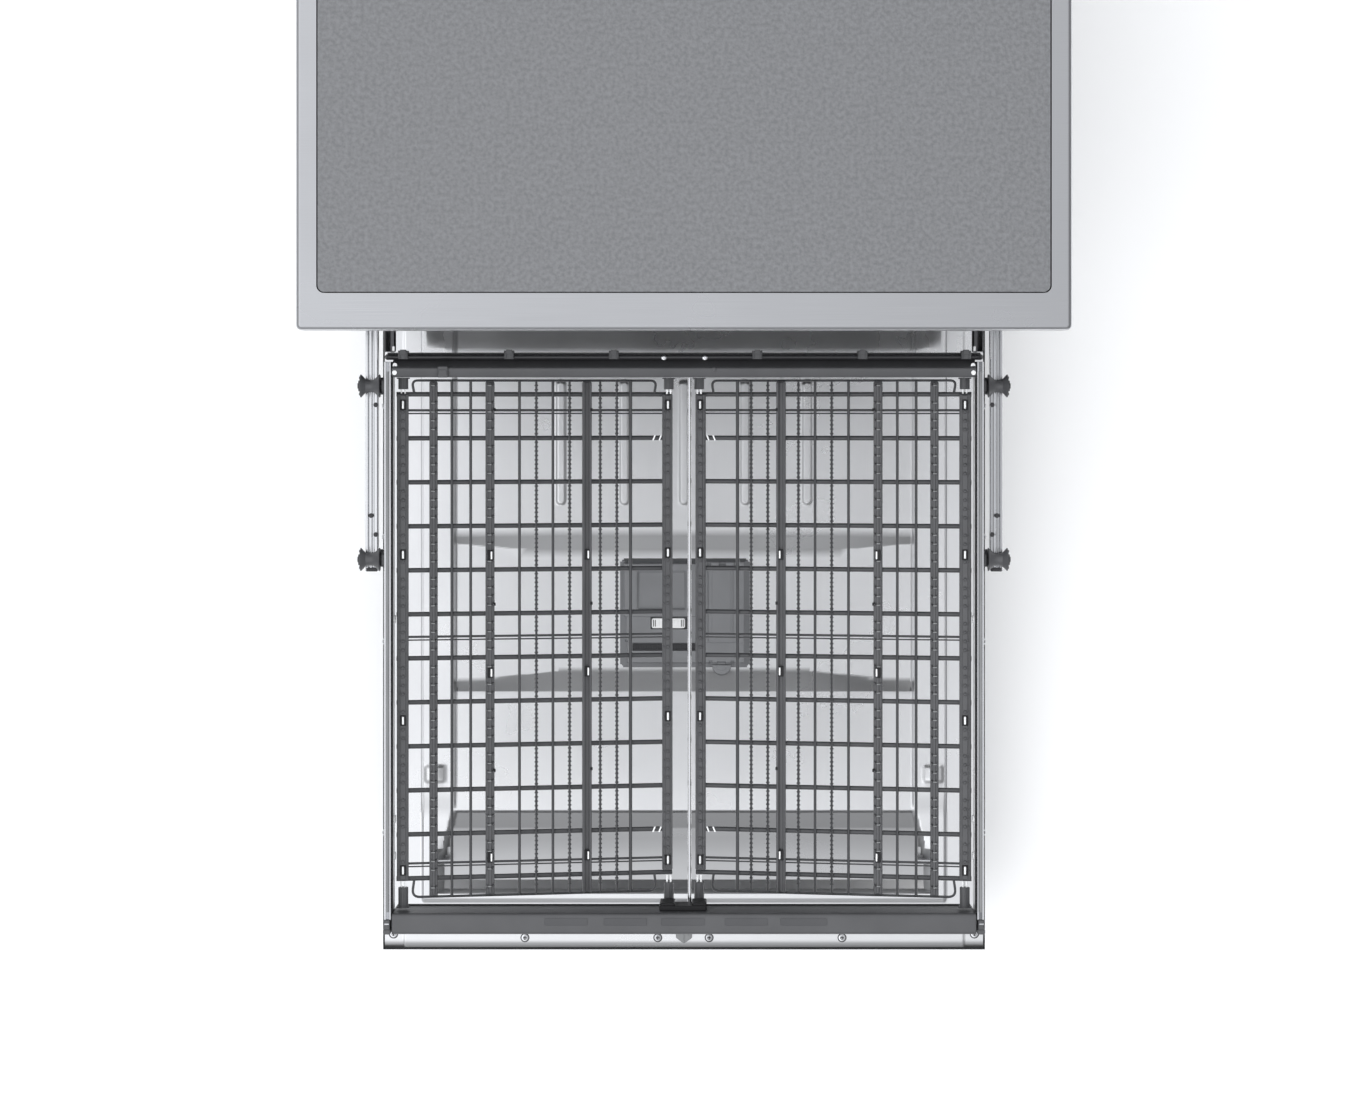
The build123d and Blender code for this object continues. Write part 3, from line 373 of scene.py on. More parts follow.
def colour_between(tree, shader, factor, dark, light, band=BAND):
    """Base colour that wanders between two tones."""
    wander = add_node(tree, "ValToRGB", factor)
    for stop, position, tone in zip(wander.color_ramp.elements, band, (dark, light)):
        stop.position = position
        stop.color = (*tone, 1)
    tree.links.new(wander.outputs["Color"], shader.inputs["Base Color"])


def roughness_between(tree, shader, factor, low, high):
    """Roughness that follows a noise."""
    tree.links.new(map_range(tree, factor, BAND, (low, high)), shader.inputs["Roughness"])


def bump_from(tree, shader, factor, strength, depth):
    """Bump whose depth is in metres."""
    bump = add_node(tree, "Bump")
    bump.inputs["Strength"].default_value = strength
    bump.inputs["Distance"].default_value = depth
    tree.links.new(factor, bump.inputs["Height"])
    tree.links.new(bump.outputs["Normal"], shader.inputs["Normal"])


def tones(colour, contrast):
    """A darker and a lighter tone of a colour."""
    shares = (1 - contrast, 1 + contrast)
    return [tuple(min(1.0, channel * share) for channel in colour) for share in shares]


def brushed(name, colour, along, roughness, metallic=1.0, contrast=0.05, strength=0.12):
    """Metal with fine lines along one axis."""
    tree, shader = new_material(name, roughness, metallic)
    streaks = noise(tree, [LINES_ALONG if axis == along else LINES_ACROSS for axis in "XYZ"], 4.0)
    colour_between(tree, shader, streaks, *tones(colour, contrast))
    cloud = noise(tree, 9.0, 4.0)
    roughness_between(tree, shader, cloud, roughness - 0.05, roughness + 0.06)
    bump_from(tree, shader, streaks, strength, LINE_DEPTH)


def moulded(name, colour, roughness, grain=1400.0, strength=0.25, contrast=0.1, coat=0.0):
    """Plastic with a fine grain and slightly uneven tone."""
    tree, shader = new_material(name, roughness)
    shader.inputs["Coat Weight"].default_value = coat
    cloud = noise(tree, 35.0, 4.0)
    colour_between(tree, shader, cloud, *tones(colour, contrast))
    fine = noise(tree, grain, 2.0)
    roughness_between(tree, shader, fine, roughness - 0.05, roughness + 0.08)
    bump_from(tree, shader, fine, strength, GRAIN_DEPTH)


def leathery(name, dark, light):
    """Laminate with a fine pebbled texture."""
    tree, shader = new_material(name, 0.5)
    pebbles = noise(tree, 620.0, kind="TexVoronoi")
    cloud = noise(tree, 320.0, 6.0)
    colour_between(tree, shader, cloud, dark, light, (0.34, 0.66))
    roughness_between(tree, shader, cloud, 0.4, 0.56)
    bump_from(tree, shader, pebbles, 0.35, PEBBLE_DEPTH)


brushed("worktop_trim", (0.53, 0.535, 0.55), "X", 0.30, 1.0, 0.04, 0.08)
leathery("worktop_laminate", (0.122, 0.125, 0.131), (0.170, 0.174, 0.183))
moulded("casing_paint", (0.42, 0.425, 0.44), 0.32, 2400.0, 0.08, 0.03, 0.3)
moulded("casing_plastic", (0.40, 0.405, 0.42), 0.38, 1800.0, 0.12, 0.03)
moulded("zinc_sheet", (0.40, 0.41, 0.42), 0.42, 300.0, 0.1, 0.04)
moulded("dark_plastic", (0.030, 0.030, 0.033), 0.45)
moulded("grey_plastic", (0.21, 0.215, 0.22), 0.42)
moulded("white_plastic", (0.74, 0.745, 0.75), 0.36, 1600.0, 0.1, 0.03)
moulded("counterweight_iron", (0.12, 0.12, 0.125), 0.7, 500.0, 0.5, 0.3)
brushed("tub_steel", (0.62, 0.625, 0.64), "Z", 0.30)
brushed("liner_steel", (0.86, 0.863, 0.87), "Y", 0.30, 0.95, 0.008, 0.002)
moulded("seal_rubber", (0.022, 0.022, 0.024), 0.62)
brushed("rail_steel", (0.66, 0.665, 0.68), "Y", 0.20, 1.0, 0.03, 0.03)
brushed("hinge_steel", (0.10, 0.10, 0.105), "Y", 0.36, 0.7)
moulded("display_glass", (0.012, 0.012, 0.014), 0.10, 2400.0, 0.02, 0.1, 0.6)
moulded("dispenser_plastic", (0.172, 0.176, 0.184), 0.46, 2200.0, 0.22, 0.05)
moulded("rack_plastic", (0.068, 0.069, 0.073), 0.42, 1500.0, 0.2, 0.08)
moulded("rack_wire", (0.040, 0.041, 0.044), 0.34, 900.0, 0.1, 0.1, 0.2)
moulded("black_wire", (0.018, 0.018, 0.02), 0.32, 900.0, 0.1, 0.1, 0.3)
brushed("chrome", (0.86, 0.865, 0.88), "Y", 0.12, 1.0, 0.02, 0.03)
moulded("black_trim", (0.006, 0.006, 0.007), 0.5)
moulded("bar_pad", (0.055, 0.056, 0.060), 0.36, 1500.0, 0.12, 0.08)
moulded("clip_plastic", (0.80, 0.81, 0.82), 0.22, 1600.0, 0.05, 0.03, 0.4)


def add_painted_shade(material):
    """Darkens the base colour with painted shade, by a float attribute of the liner mesh, which other
    meshes don't have.
    """
    tree = material.node_tree
    socket = tree.nodes["Principled BSDF"].inputs["Base Color"]
    plain = socket.links[0].from_socket
    painted_shade_node = add_node(tree, "Attribute", attribute_name="painted_shade")
    mix = add_node(tree, "Mix", painted_shade_node.outputs["Fac"], data_type="RGBA")
    colour_a, colour_b = [item for item in mix.inputs if item.type == "RGBA"]
    colour_b.default_value = PAINTED_SHADE_TONE
    result = [item for item in mix.outputs if item.type == "RGBA"][0]
    tree.links.new(plain, colour_a)
    tree.links.new(result, socket)


add_painted_shade(LOOKS["liner_steel"])

for row in frame["record"]["subparts"]:
    node = frame["nodes"][row["node"]]
    for holder in node.material_slots:
        holder.material = LOOKS[row["material_slot"]]

# --- door liner ---

LINER = extents("door_liner")
FLANGE_Z = extents("door_latch")[4]
DISPENSER = extents("dispenser_body")
DISPENSER_TOP = DISPENSER[5]
PAN_Z = DISPENSER_TOP - 2
TRACK_Z = PAN_Z + 6
TRACK_OUTER = 261
TRACK_INNER = 227
CREASE_X = 278  # a shallow step along the flange
CREASE_DROP = 0.8
PAN_REAR = -7
HOLLOW_REAR = -461
HOLLOW_FRONT = -544
HOLLOW_FLARE = 15  # wider by this much on each side, over this length
HOLLOW_FLARE_LENGTH = 52
LEDGE_Z = 174
LEDGE_FRONT = -548
PRESS_FRONT = -554
STOP_REAR = -416
STOP_FRONT = -431
RIB_XS = (-122, -59, 0, 60.6, 122)
RIB_HALF = 5.75
RIB_REAR = -34 - RIB_HALF
RIB_FRONT = -159 + RIB_HALF
STEP_REAR = -188
STEP_REAR_FOOT = -206
REAR_STEP_SWEEP = 9  # how far the rear step's foot comes to the rear at the sides
STEP_FRONT = -343.5
STEP_FRONT_FOOT = -322
FRONT_STEP_SWEEP = 11  # and the front step's foot to the front
SEAT_HALF = 119  # flat seat round the dispenser; its sides slope up from here
SEAT_Z = PAN_Z - 5.5
STOP_RISE = 3.0
RIB_RISE = 2.2
REAR_DROP = 4
HOLLOW_YS = [HOLLOW_FRONT, -541, -536, -520, -500, -480, -464, HOLLOW_REAR]
HOLLOW_ZS = [LEDGE_Z, 160, 155, 155.6, 158.8, 164.6, 171.5, PAN_Z]
# painted shade on the pressing's two steps and in its hollow, standing in for the darker reflections
# there
STEP_PAINTED_SHADE = 0.50
HOLLOW_PAINTED_SHADES = ([HOLLOW_FRONT, -500, HOLLOW_REAR], [0.30, 0.46, 0.42])  # how much painted shade at these Ys
HINGE_SLOT = (286.5, 297, -6)  # inner edge, outer edge, front end
CUP_HOLE = (-60.5, 62.5, -316, -214)


def hollow_half(y):
    """Half width of the hollow at the front of the liner, which widens forward."""
    return TRACK_INNER + HOLLOW_FLARE * incline(y, HOLLOW_REAR, HOLLOW_REAR - HOLLOW_FLARE_LENGTH)


def seat_steps(out, y):
    """How far up the seat's side slope, down its rear step and down its front step: 0 to 1 each."""
    to_side = incline(out, SEAT_HALF, TRACK_INNER)
    into = incline(y, STEP_REAR, STEP_REAR_FOOT + REAR_STEP_SWEEP * to_side)
    back_up = incline(y, STEP_FRONT, STEP_FRONT_FOOT - FRONT_STEP_SWEEP * to_side)
    return to_side, into, back_up


def liner_height(x, y):
    out = np.abs(x)
    flange = FLANGE_Z - CREASE_DROP * ramp(out, CREASE_X - 1.2, CREASE_X + 1.2)
    fall = ramp(y, STOP_FRONT - 2, STOP_FRONT - 42)
    track = TRACK_Z + (LEDGE_Z - TRACK_Z) * fall
    stop = ramp(y, STOP_REAR + 2.5, STOP_REAR - 3) * ramp(y, STOP_FRONT - 4, STOP_FRONT + 2)
    stop = stop * ramp(out, 234, 242) * ramp(out, 259, 252)
    track = track + STOP_RISE * stop
    pan = np.full_like(x, PAN_Z)
    to_side, into, back_up = seat_steps(out, y)
    seat = SEAT_Z + 1.0 * to_side
    pan = pan + (seat - pan) * into * back_up
    for rib_x in RIB_XS:
        past = np.clip(y - RIB_REAR, 0, None) + np.clip(RIB_FRONT - y, 0, None)
        away = np.hypot(x - rib_x, past)
        pan = pan + RIB_RISE * ramp(away, RIB_HALF, RIB_HALF - 3)
    rear_half = TRACK_INNER + 25 * incline(y, -9, 10)
    rear_drop = ramp(y, PAN_REAR, PAN_REAR + 30) * ramp(out, rear_half + 3, rear_half - 6)
    hollow = np.interp(y, HOLLOW_YS, HOLLOW_ZS)
    plateau = track + (pan - track) * ramp(out, TRACK_INNER + 1.5, TRACK_INNER - 1.5)
    plateau = plateau - REAR_DROP * rear_drop
    inside = ramp(out, hollow_half(y) + 3, hollow_half(y) - 3)
    front_part = np.where(y < HOLLOW_FRONT, LEDGE_Z, hollow)
    plateau = np.where(y < HOLLOW_REAR, plateau + (front_part - plateau) * inside, plateau)
    edge = ramp(out, TRACK_OUTER, TRACK_OUTER - 3.5) * ramp(y, PRESS_FRONT, LEDGE_FRONT)
    return flange + (plateau - flange) * edge


def liner_shade(x, y):
    """How much painted shade darkens the pressing in its hollow and down its two steps, standing in for
    the darker reflections there: 0 on the flats.
    """
    out = np.abs(x)
    _, into, back_up = seat_steps(out, y)
    on_step = np.maximum((into > 0.02) & (into < 0.98), (back_up > 0.02) & (back_up < 0.98))
    step = STEP_PAINTED_SHADE * on_step * ramp(out, TRACK_INNER, TRACK_INNER - 3)
    half = hollow_half(y)
    in_hollow = (y < HOLLOW_REAR) * (y > HOLLOW_FRONT) * ramp(out, half + 1, half - 2)
    return np.maximum(step, in_hollow * np.interp(y, *HOLLOW_PAINTED_SHADES))


def liner_hole(x, y):
    inner, outer, front = HINGE_SLOT
    if inner < abs(x) < outer and y > front:
        return True
    x0, x1, y0, y1 = CUP_HOLE
    return x0 < x < x1 and y0 < y < y1


def build_liner():
    shape = Shape()
    creases = (SEAT_HALF, TRACK_INNER, 236, 257, TRACK_OUTER - 1.7, CREASE_X, *HINGE_SLOT[:2])
    features_x = [side * crease for side in SIDES for crease in creases]
    for rib_x in RIB_XS:
        features_x += [rib_x - RIB_HALF + 1.5, rib_x + RIB_HALF - 1.5]
    features_x += list(CUP_HOLE[:2])
    features_y = [PRESS_FRONT + 3, LEDGE_FRONT, HOLLOW_FRONT, -468, HOLLOW_REAR, STOP_FRONT, STOP_REAR]
    features_y += [STEP_FRONT + 3, -326, -336, -192, -199]
    features_y += [RIB_FRONT, RIB_REAR, RIB_FRONT - 4, RIB_REAR + 4]
    features_y += [PAN_REAR + 2, HINGE_SLOT[2], CUP_HOLE[2], CUP_HOLE[3], -480]
    xs = grid_lines(LINER[0] + 1.5, LINER[1] - 1.5, features_x)
    ys = grid_lines(LINER[2] + 2.6, LINER[3], features_y)
    shape.relief(xs, ys, liner_height, liner_hole)
    made = shape.become("door_inner_liner", "door", ["door_liner"], "liner_steel", crisp=28)
    spots = np.array([vert.co[:2] for vert in made.data.vertices]) / MM
    # the painted shade of the hollow and the two steps, kept on the liner's points
    shade_layer = made.data.attributes.new("painted_shade", "FLOAT", "POINT")
    shade_layer.data.foreach_set("value", liner_shade(spots[:, 0], spots[:, 1]).astype(np.float32))
    thicken(made, 1.1)


def build_liner_trim():
    """The black edge that shows round the front of the lowered door."""
    shape = Shape()
    x1, y0 = LINER[1], LINER[2]
    z0, z1 = FLANGE_Z - 1.2, FLANGE_Z - 0.2
    for side in SIDES:
        shape.box(*both(side, x1 - 1.5, x1), y0, LINER[3], z0, z1)
    shape.box(-x1 + 1.5, x1 - 1.5, y0, y0 + 2.6, z0, z1)
    shape.become("door_black_edge", "door", [], "black_trim", slot="liner_steel")


build_liner()
build_liner_trim()


# --- door screws, latch and hinge arms ---

SCREW_Y = LINER[2] + 11.8
SCREW_XS = (-158, -26, 25, 157)
CORNER_SCREW = (288.6, LINER[2] + 15.5)
SCREW_R, CORNER_SCREW_R = 3.8, 4.0


def add_screw(shape, x, y, z, radius, tone):
    """A pan-head screw with a cross recess, in a shallow ring; the recess is a dark cross of painted
    shade.
    """
    ring = [(-0.6, radius + 0.7), (0.25, radius + 0.7), (0.25, radius)]
    head = [(0.2, radius), (0.9, radius - 0.25), (1.25, radius - 0.9), (1.3, radius * 0.52)]
    head.append((0.8, radius * 0.40))
    for paint, profile in ((1, ring), (tone, head)):
        shape.paint = paint
        shape.lathe(profile, (x, y, z), "Z", 28)
    # the cross recess: dark blocks of painted shade
    shape.paint = 1
    arm = radius * 0.42
    for half_x, half_y in ((arm * 0.32, arm), (arm, arm * 0.32)):
        shape.block(x, y, half_x, half_y, z + 0.7, z + 1.1, 0.05)


def build_door_fasteners():
    shape = Shape()
    for index, screw_x in enumerate(SCREW_XS):
        add_screw(shape, screw_x, SCREW_Y, FLANGE_Z - 0.2, SCREW_R, 0 if index in (0, 3) else 2)
    for side in SIDES:
        add_screw(shape, side * CORNER_SCREW[0], CORNER_SCREW[1], FLANGE_Z - 1.0, CORNER_SCREW_R, 0)
    shape.become("door_screw_heads", "door", ["door_screws"],
                 "chrome", "dark_plastic", "rail_steel", slot="rail_steel")


def build_latch():
    x0, x1, y0, y1, z0, z1 = extents("door_latch")
    shape = Shape()
    shoulder = [(x0, y1), (x0, y0 + 5.5), (x0 + 1, y0 + 4.4), (-0.9, y0)]
    outline = shoulder + [(0.9, y0), (x1 - 1, y0 + 4.4), (x1, y0 + 5.5), (x1, y1)]
    shape.prism(outline, z0 - 0.2, z1 - 1.4, "Z", 0.5)
    shape.strip(0, 0.7, y0 + 0.6, y1, z1 - 1.6, z1 - 0.6)
    for side in SIDES:
        shape.box(*both(side, 4, 6), y0 + 7, y1, z1 - 1.6, z1 - 0.9)
    shape.become("door_latch_tongue", "door", ["door_latch"], "grey_plastic", slot="dark_plastic")


def build_hinge_arms():
    x0, x1, y0, y1, z0, z1 = extents("hinge_arms")
    inner, outer = x1 - 3.5, x1
    pivot_y, pivot_z, eye = y1 - 12, z1 - 12, 12
    bore = 4.06
    shape = Shape()
    for side in SIDES:
        outline = arc(pivot_y, pivot_z, eye, -pi / 2, pi / 2, 32)
        outline += [(pivot_y - 6, pivot_z + 10.2), (pivot_y - 10, pivot_z + 6.4)]
        outline += [(pivot_y - 11.8, pivot_z + 1.8), (-6, pivot_z + 1.8)]
        outline += [(-10, pivot_z - 6), (y0 + 4, pivot_z - 10), (y0, pivot_z - 14), (y0, z0)]
        outline += [(pivot_y - 20, z0)]
        shape.paint = 0
        shape.prism(outline, *both(side, inner, outer), "X", 0.4)
        shape.paint = 1
        ring = [(-0.3, eye - 3), (0.0, eye - 3.4), (0.0, bore + 0.6), (-0.3, bore + 0.4)]
        shape.lathe(facing(side, ring), (side * (outer + 0.35), pivot_y, pivot_z), "X", 32)
        shape.paint = 2
        shape.box(*both(side, inner - 0.6, inner + 1.8), -5.6, -0.6, pivot_z, pivot_z + 2.2, 0.5)
    shape.become("door_hinge_arms", "door", ["hinge_arms"],
                 "hinge_steel", "zinc_sheet", "white_plastic")


build_door_fasteners()
build_latch()
build_hinge_arms()


# --- detergent dispenser ---

BEZEL_BASE = SEAT_Z - 0.6
LID = extents("detergent_lid")
BUTTON = extents("lid_button")
FLAP = extents("rinse_aid_flap")
CUP = (-56, 8, -264, -220, 140)  # X range, Y range, Z of its floor
TANK_WELL = (26, 51, -290, -222, 150)
DECK_STEP_Y = -294.6  # front edge of the raised part of the deck
SLOT = (-50.8, 12.3, -302.2, -295.4)
BUTTON_WELL = (-32.6, 3.0, -280.6, -269.4)
PITS = (  # X range, Y range, depth
    (24, 28, -220, -214.8, 1.6),
    (45, 48.6, -220, -214.8, 1.6),
    (25, 27.5, -317, -312.5, 1.8),
    (46.5, 49, -317, -312.5, 1.8),
    (33, 41, -315.5, -313.5, 1.8),
)
PIN_HOLE = (-57, -292.4)
BEZEL_CORNER = 8
FLUTED_TAB = (37.4, 3.4, 9.6)  # X, distance in from the bezel's front, radius
LID_POCKET = (-45.6, 1.5, -261, -224)


def within(x, y, x0, x1, y0, y1, soft=0.3):
    """1 inside a rectangle and 0 outside, with edges this soft."""
    across = ramp(x, x0 - soft, x0 + soft) * ramp(x, x1 + soft, x1 - soft)
    return across * ramp(y, y0 - soft, y0 + soft) * ramp(y, y1 + soft, y1 - soft)


def dispenser_height(x, y):
    x0, x1, y0, y1 = DISPENSER[:4]
    from_left, from_right, from_rear, from_front = x - x0, x1 - x, y1 - y, y - y0
    top = DISPENSER_TOP
    rise = np.minimum.reduce([from_left / 7.4, from_right / 6.8, from_rear / 4.0, from_front / 5.0])
    z = BEZEL_BASE + (top - BEZEL_BASE) * np.clip(rise, 0, 1)
    z = z - 0.9 * within(x, y, x0 + 7.6, x1 - 7, y0 + 5.5, DECK_STEP_Y)
    z = z + 0.9 * within(x, y, -58, 12.9, DECK_STEP_Y, -266, 0.5)
    z = z - 3.6 * within(x, y, *SLOT)
    z = z - 1.2 * within(x, y, 19.5, 21, y0 + 8, y1 - 6, 0.4)
    for *edges, depth in PITS:
        z = z - depth * within(x, y, *edges)
    z = z - 2.0 * ramp(np.hypot(x - PIN_HOLE[0], y - PIN_HOLE[1]), 1.7, 1.1)
    z = z + (top - 4 - z) * within(x, y, *BUTTON_WELL, 0.2)
    for *edges, bottom in (CUP, TANK_WELL):
        z = z + (bottom - z) * within(x, y, *edges, 0.25)
    return z


def outside_bezel(x, y):
    """Cuts the bezel's corners round."""
    x0, x1, y0, y1 = DISPENSER[:4]
    near_x = max(x0 + BEZEL_CORNER - x, x - (x1 - BEZEL_CORNER), 0)
    near_y = max(y0 + BEZEL_CORNER - y, y - (y1 - BEZEL_CORNER), 0)
    return near_x > 0 and near_y > 0 and near_x ** 2 + near_y ** 2 > BEZEL_CORNER ** 2


def build_dispenser():
    x0, x1, y0, y1 = DISPENSER[:4]
    slot_x0, slot_x1, slot_y0, slot_y1 = SLOT
    top = DISPENSER_TOP
    shape = Shape()
    features_x = [x0 + 4, x0 + 7.4, x1 - 7, x1 - 4, 20.3, 13, -58, PIN_HOLE[0]]
    features_x += [26, 47, 33, 41, 27.5, 49]
    features_y = [y0 + 4, y0 + 7, y1 - 3, y1 - 5, -217, -315, PIN_HOLE[1], -266]
    for edges in (CUP, TANK_WELL, SLOT, BUTTON_WELL):
        features_x += edges[:2]
        features_y += edges[2:4]
    xs = grid_lines(x0, x1, features_x, 0.5, 4)
    ys = grid_lines(y0, y1, features_y, 0.5, 4)
    shape.relief(xs, ys, dispenser_height, outside_bezel)
    shape.paint = 1
    shape.box(slot_x0 + 0.3, slot_x1 - 0.3, slot_y0 + 0.3, slot_y1 - 0.3, top - 4.6, top - 3.2, 0.2)
    for rib_x in spread(slot_x0 + 3, slot_x1 - 3, 24):
        shape.strip(rib_x, 0.35, slot_y0 + 0.8, slot_y1 - 0.6, top - 3.6, top - 2.2, 0.15)
    shape.paint = 0
    tab_x, tab_y, tab_r = FLUTED_TAB[0], y0 + FLUTED_TAB[1], FLUTED_TAB[2]
    outline = []
    for step in range(41):
        a = pi + pi * step / 40
        radius = tab_r + (0.35 if step % 2 else -0.25)
        outline.append((tab_x + radius * cos(a), tab_y + radius * sin(a)))
    shape.prism(outline, SEAT_Z - 1, top - 1.0, "Z", 0.5)
    shape.prism(arc(tab_x, tab_y, 5.6, pi, 2 * pi, 20), top - 1.4, top - 0.2, "Z", 0.4)
    shape.become("dispenser_housing", "door", ["dispenser_body"],
                 "dispenser_plastic", "dark_plastic", crisp=24)


def build_dispenser_lid():
    x0, x1, y0, y1, z0, z1 = LID
    pocket_front, pocket_rear = LID_POCKET[2:]

    def lid_height(x, y):
        rise = np.minimum.reduce([(x - x0) / 1.6, (x1 - x) / 1.6, (y - y0) / 0.8, (y1 - y) / 1.6])
        z = z0 + (z1 - z0) * np.clip(rise, 0, 1)
        scoop = within(x, y, *LID_POCKET, 1.6)
        slope = (y - pocket_front) / (pocket_rear - pocket_front)
        return z - scoop * (2.0 + 1.4 * np.clip(slope, 0, 1))

    shape = Shape()
    xs = grid_lines(x0, x1, [x0 + 1, x1 - 1, *LID_POCKET[:2]], 0.5, 4)
    ys = grid_lines(y0, y1, [y0 + 0.8, y1 - 1, *LID_POCKET[2:]], 0.5, 4)
    shape.relief(xs, ys, lid_height)
    made = shape.become("dispenser_lid", "detergent_cover", ["detergent_lid"],
                        "dispenser_plastic", crisp=24)
    thicken(made, 0.5)


def build_lid_button():
    x0, x1, y0, y1, z0, z1 = BUTTON
    shape = Shape()
    shape.prism(slab(x0, x1, y0, y1, 2.4, 5), z0, z1 - 0.4, "Z", 0.7)
    for rib_x in spread(x0 + 7, x1 - 7, 6):
        shape.strip(rib_x, 0.5, y0 + 2, y1 - 2, z1 - 0.8, z1, 0.25)
    shape.paint = 1
    for rib_x in (x0 + 1.8, x0 + 3.6, x1 - 3.6, x1 - 1.8):
        shape.strip(rib_x, 0.4, y0 + 1.6, y1 - 1.6, z1 - 0.8, z1 - 0.1, 0.15)
    shape.become("dispenser_button", "cover_release", ["lid_button"], "white_plastic", "dark_plastic")


def build_rinse_flap():
    x0, x1, y0, y1, z0, z1 = FLAP
    hinge_y, hinge_z = y1 - 2.2, z1 - 2.2
    plate_low, plate_high = z0 + 0.05, z0 + 2.3
    shape = Shape()
    shape.prism(slab(x0 + 1.5, x1 - 1.5, y0, y1 - 4, 2.5), plate_low, plate_high, "Z", 0.5)
    shape.prism(slab(x0 + 5, x1 - 7, y0 + 5, y1 - 9, 3), plate_high - 0.3, plate_high + 0.35, "Z", 0.3)
    shape.box(x0 + 25.2, x0 + 26.2, y0 + 2, y1 - 6, plate_high - 0.2, plate_high + 0.7, 0.2)
    for mid_x in (x0 + 8, x1 - 8):
        shape.lathe([(-4, 1.7), (-3.6, 2.1), (3.6, 2.1), (4, 1.7)], (mid_x, hinge_y, hinge_z), "X", 20)
        shape.box(mid_x - 3, mid_x + 3, hinge_y - 3.6, hinge_y, plate_low, plate_high)
    shape.become("rinse_aid_cover_plate", "rinse_aid_cover", ["rinse_aid_flap"], "dispenser_plastic")


build_dispenser()
build_dispenser_lid()
build_lid_button()
build_rinse_flap()


# --- frame of the cutlery rack ---

RAILS = extents("cutlery_rails")
FRONT_BAR = extents("cutlery_front_bar")
REAR_BAR = extents("cutlery_rear_bar")
REAR_ROD = extents("cutlery_rear_rod")
FITTINGS = extents("cutlery_fittings")
MIDDLE = extents("cutlery_middle_rails")
RACK_TOP = RAILS[5]
RAIL_OUTER = RAILS[1]
RAIL_LOW = RAILS[4] + 6
ROD_X = 4.5
ROD_R = 1.5
TRAY_TILT = radians(9.3)
TRAY_OUTER_X = RAIL_OUTER - 8
TRAY_OUTER_Z = RACK_TOP - 19
BUSH_XS = (229, 12.5)
BUSH_ZS = (716, 692)


def mirrored(side, outline):
    """An outline of (distance in from the outer face, z) as (x, z) on one side of the rack."""
    return [(side * (RAIL_OUTER - inward), z) for inward, z in outline]


def build_rack_rails():
    low, top = RAIL_LOW, RACK_TOP
    section = [
        (0, low), (0, top - 0.8), (0.4, top), (1.5, top), (1.8, top - 0.5), (3.9, top - 1.9),
        (4.2, top - 0.6), (4.5, top - 0.1), (5.4, top - 0.1), (5.8, top - 0.6), (6, low),
    ]
    # painted shade and light on each rail: a black strip stands in for the shadow gap along the top of
    # its inner face, a white strip paints light on its shaded inner face, and a grey strip paints the
    # shade down its groove
    shadow_gap_strip = [(6.05, top - 5), (6.05, top - 1.4), (6.9, top - 1.7), (7.0, top - 5)]
    painted_light_strip = [(6.05, low + 3), (6.05, top - 5.2), (6.4, top - 5.2), (6.4, low + 3)]
    groove_shade_strip = [(1.9, top - 2.0), (1.9, top - 0.55), (3.8, top - 1.5), (3.8, top - 2.6)]
    shape = Shape()
    for side in SIDES:
        shape.paint = 0
        shape.prism(mirrored(side, section), RAILS[2], RAILS[3], "Y", 0.2)
        for tone, strip in ((1, shadow_gap_strip), (2, painted_light_strip), (3, groove_shade_strip)):
            shape.paint = tone
            shape.prism(mirrored(side, strip), RAILS[2] + 6, RAILS[3] - 8, "Y", 0.1)
    shape.become("rack_side_rails", "cutlery_rack", ["cutlery_rails"],
                 "rail_steel", "black_trim", "white_plastic", "grey_plastic")


def build_centre_rod():
    shape = Shape()
    z = REAR_BAR[4] - ROD_R - 0.05
    path = [(ROD_X, RAILS[3] - 3, z), (ROD_X, FRONT_BAR[3] + 0.1, z)]
    shape.tube(path, ROD_R, 16)
    shape.become("rack_centre_rod", "cutlery_rack", ["cutlery_rails"], "chrome", slot="rail_steel")


def build_rear_bar():
    x0, x1, y0, y1, z0, z1 = REAR_BAR
    shape = Shape()
    corners = [(y0, z0), (y0, z1 - 2), (y0 + 5.5, z1), (y0 + 7.5, z1), (y1, z1 - 15), (y1, z0)]
    shape.prism(rounded(corners, 1.2, 3), x0, x1, "X", 0.4)
    shape.box(-199.5, -191, y0 - 0.4, y0 + 9, z1 - 3, z1 + 2.2, 0.7)
    shape.box(-198.5, -192, y0 + 1.5, y0 + 6, z1 + 1.8, z1 + 2.6)
    shape.lathe([(0, 2.2), (1.0, 2.0), (1.3, 1.4)], (24.3, y0 + 6, z1 - 0.6), "Z", 20)
    ring = [(-0.5, 1.9), (0.7, 1.9), (0.9, 1.5), (0.9, 0.8), (0.3, 0.7)]
    shape.paint = 1
    for side in SIDES:
        for hole_y, hole_z in ((y0 + 3.6, z1 - 0.6), (y0 + 9.6, z1 - 3.6)):
            shape.lathe(ring, (side * (x1 - 2.4), hole_y, hole_z), "Z", 18)
    shape.become("rack_rear_bar", "cutlery_rack", ["cutlery_rear_bar"], "rack_plastic", "clip_plastic")


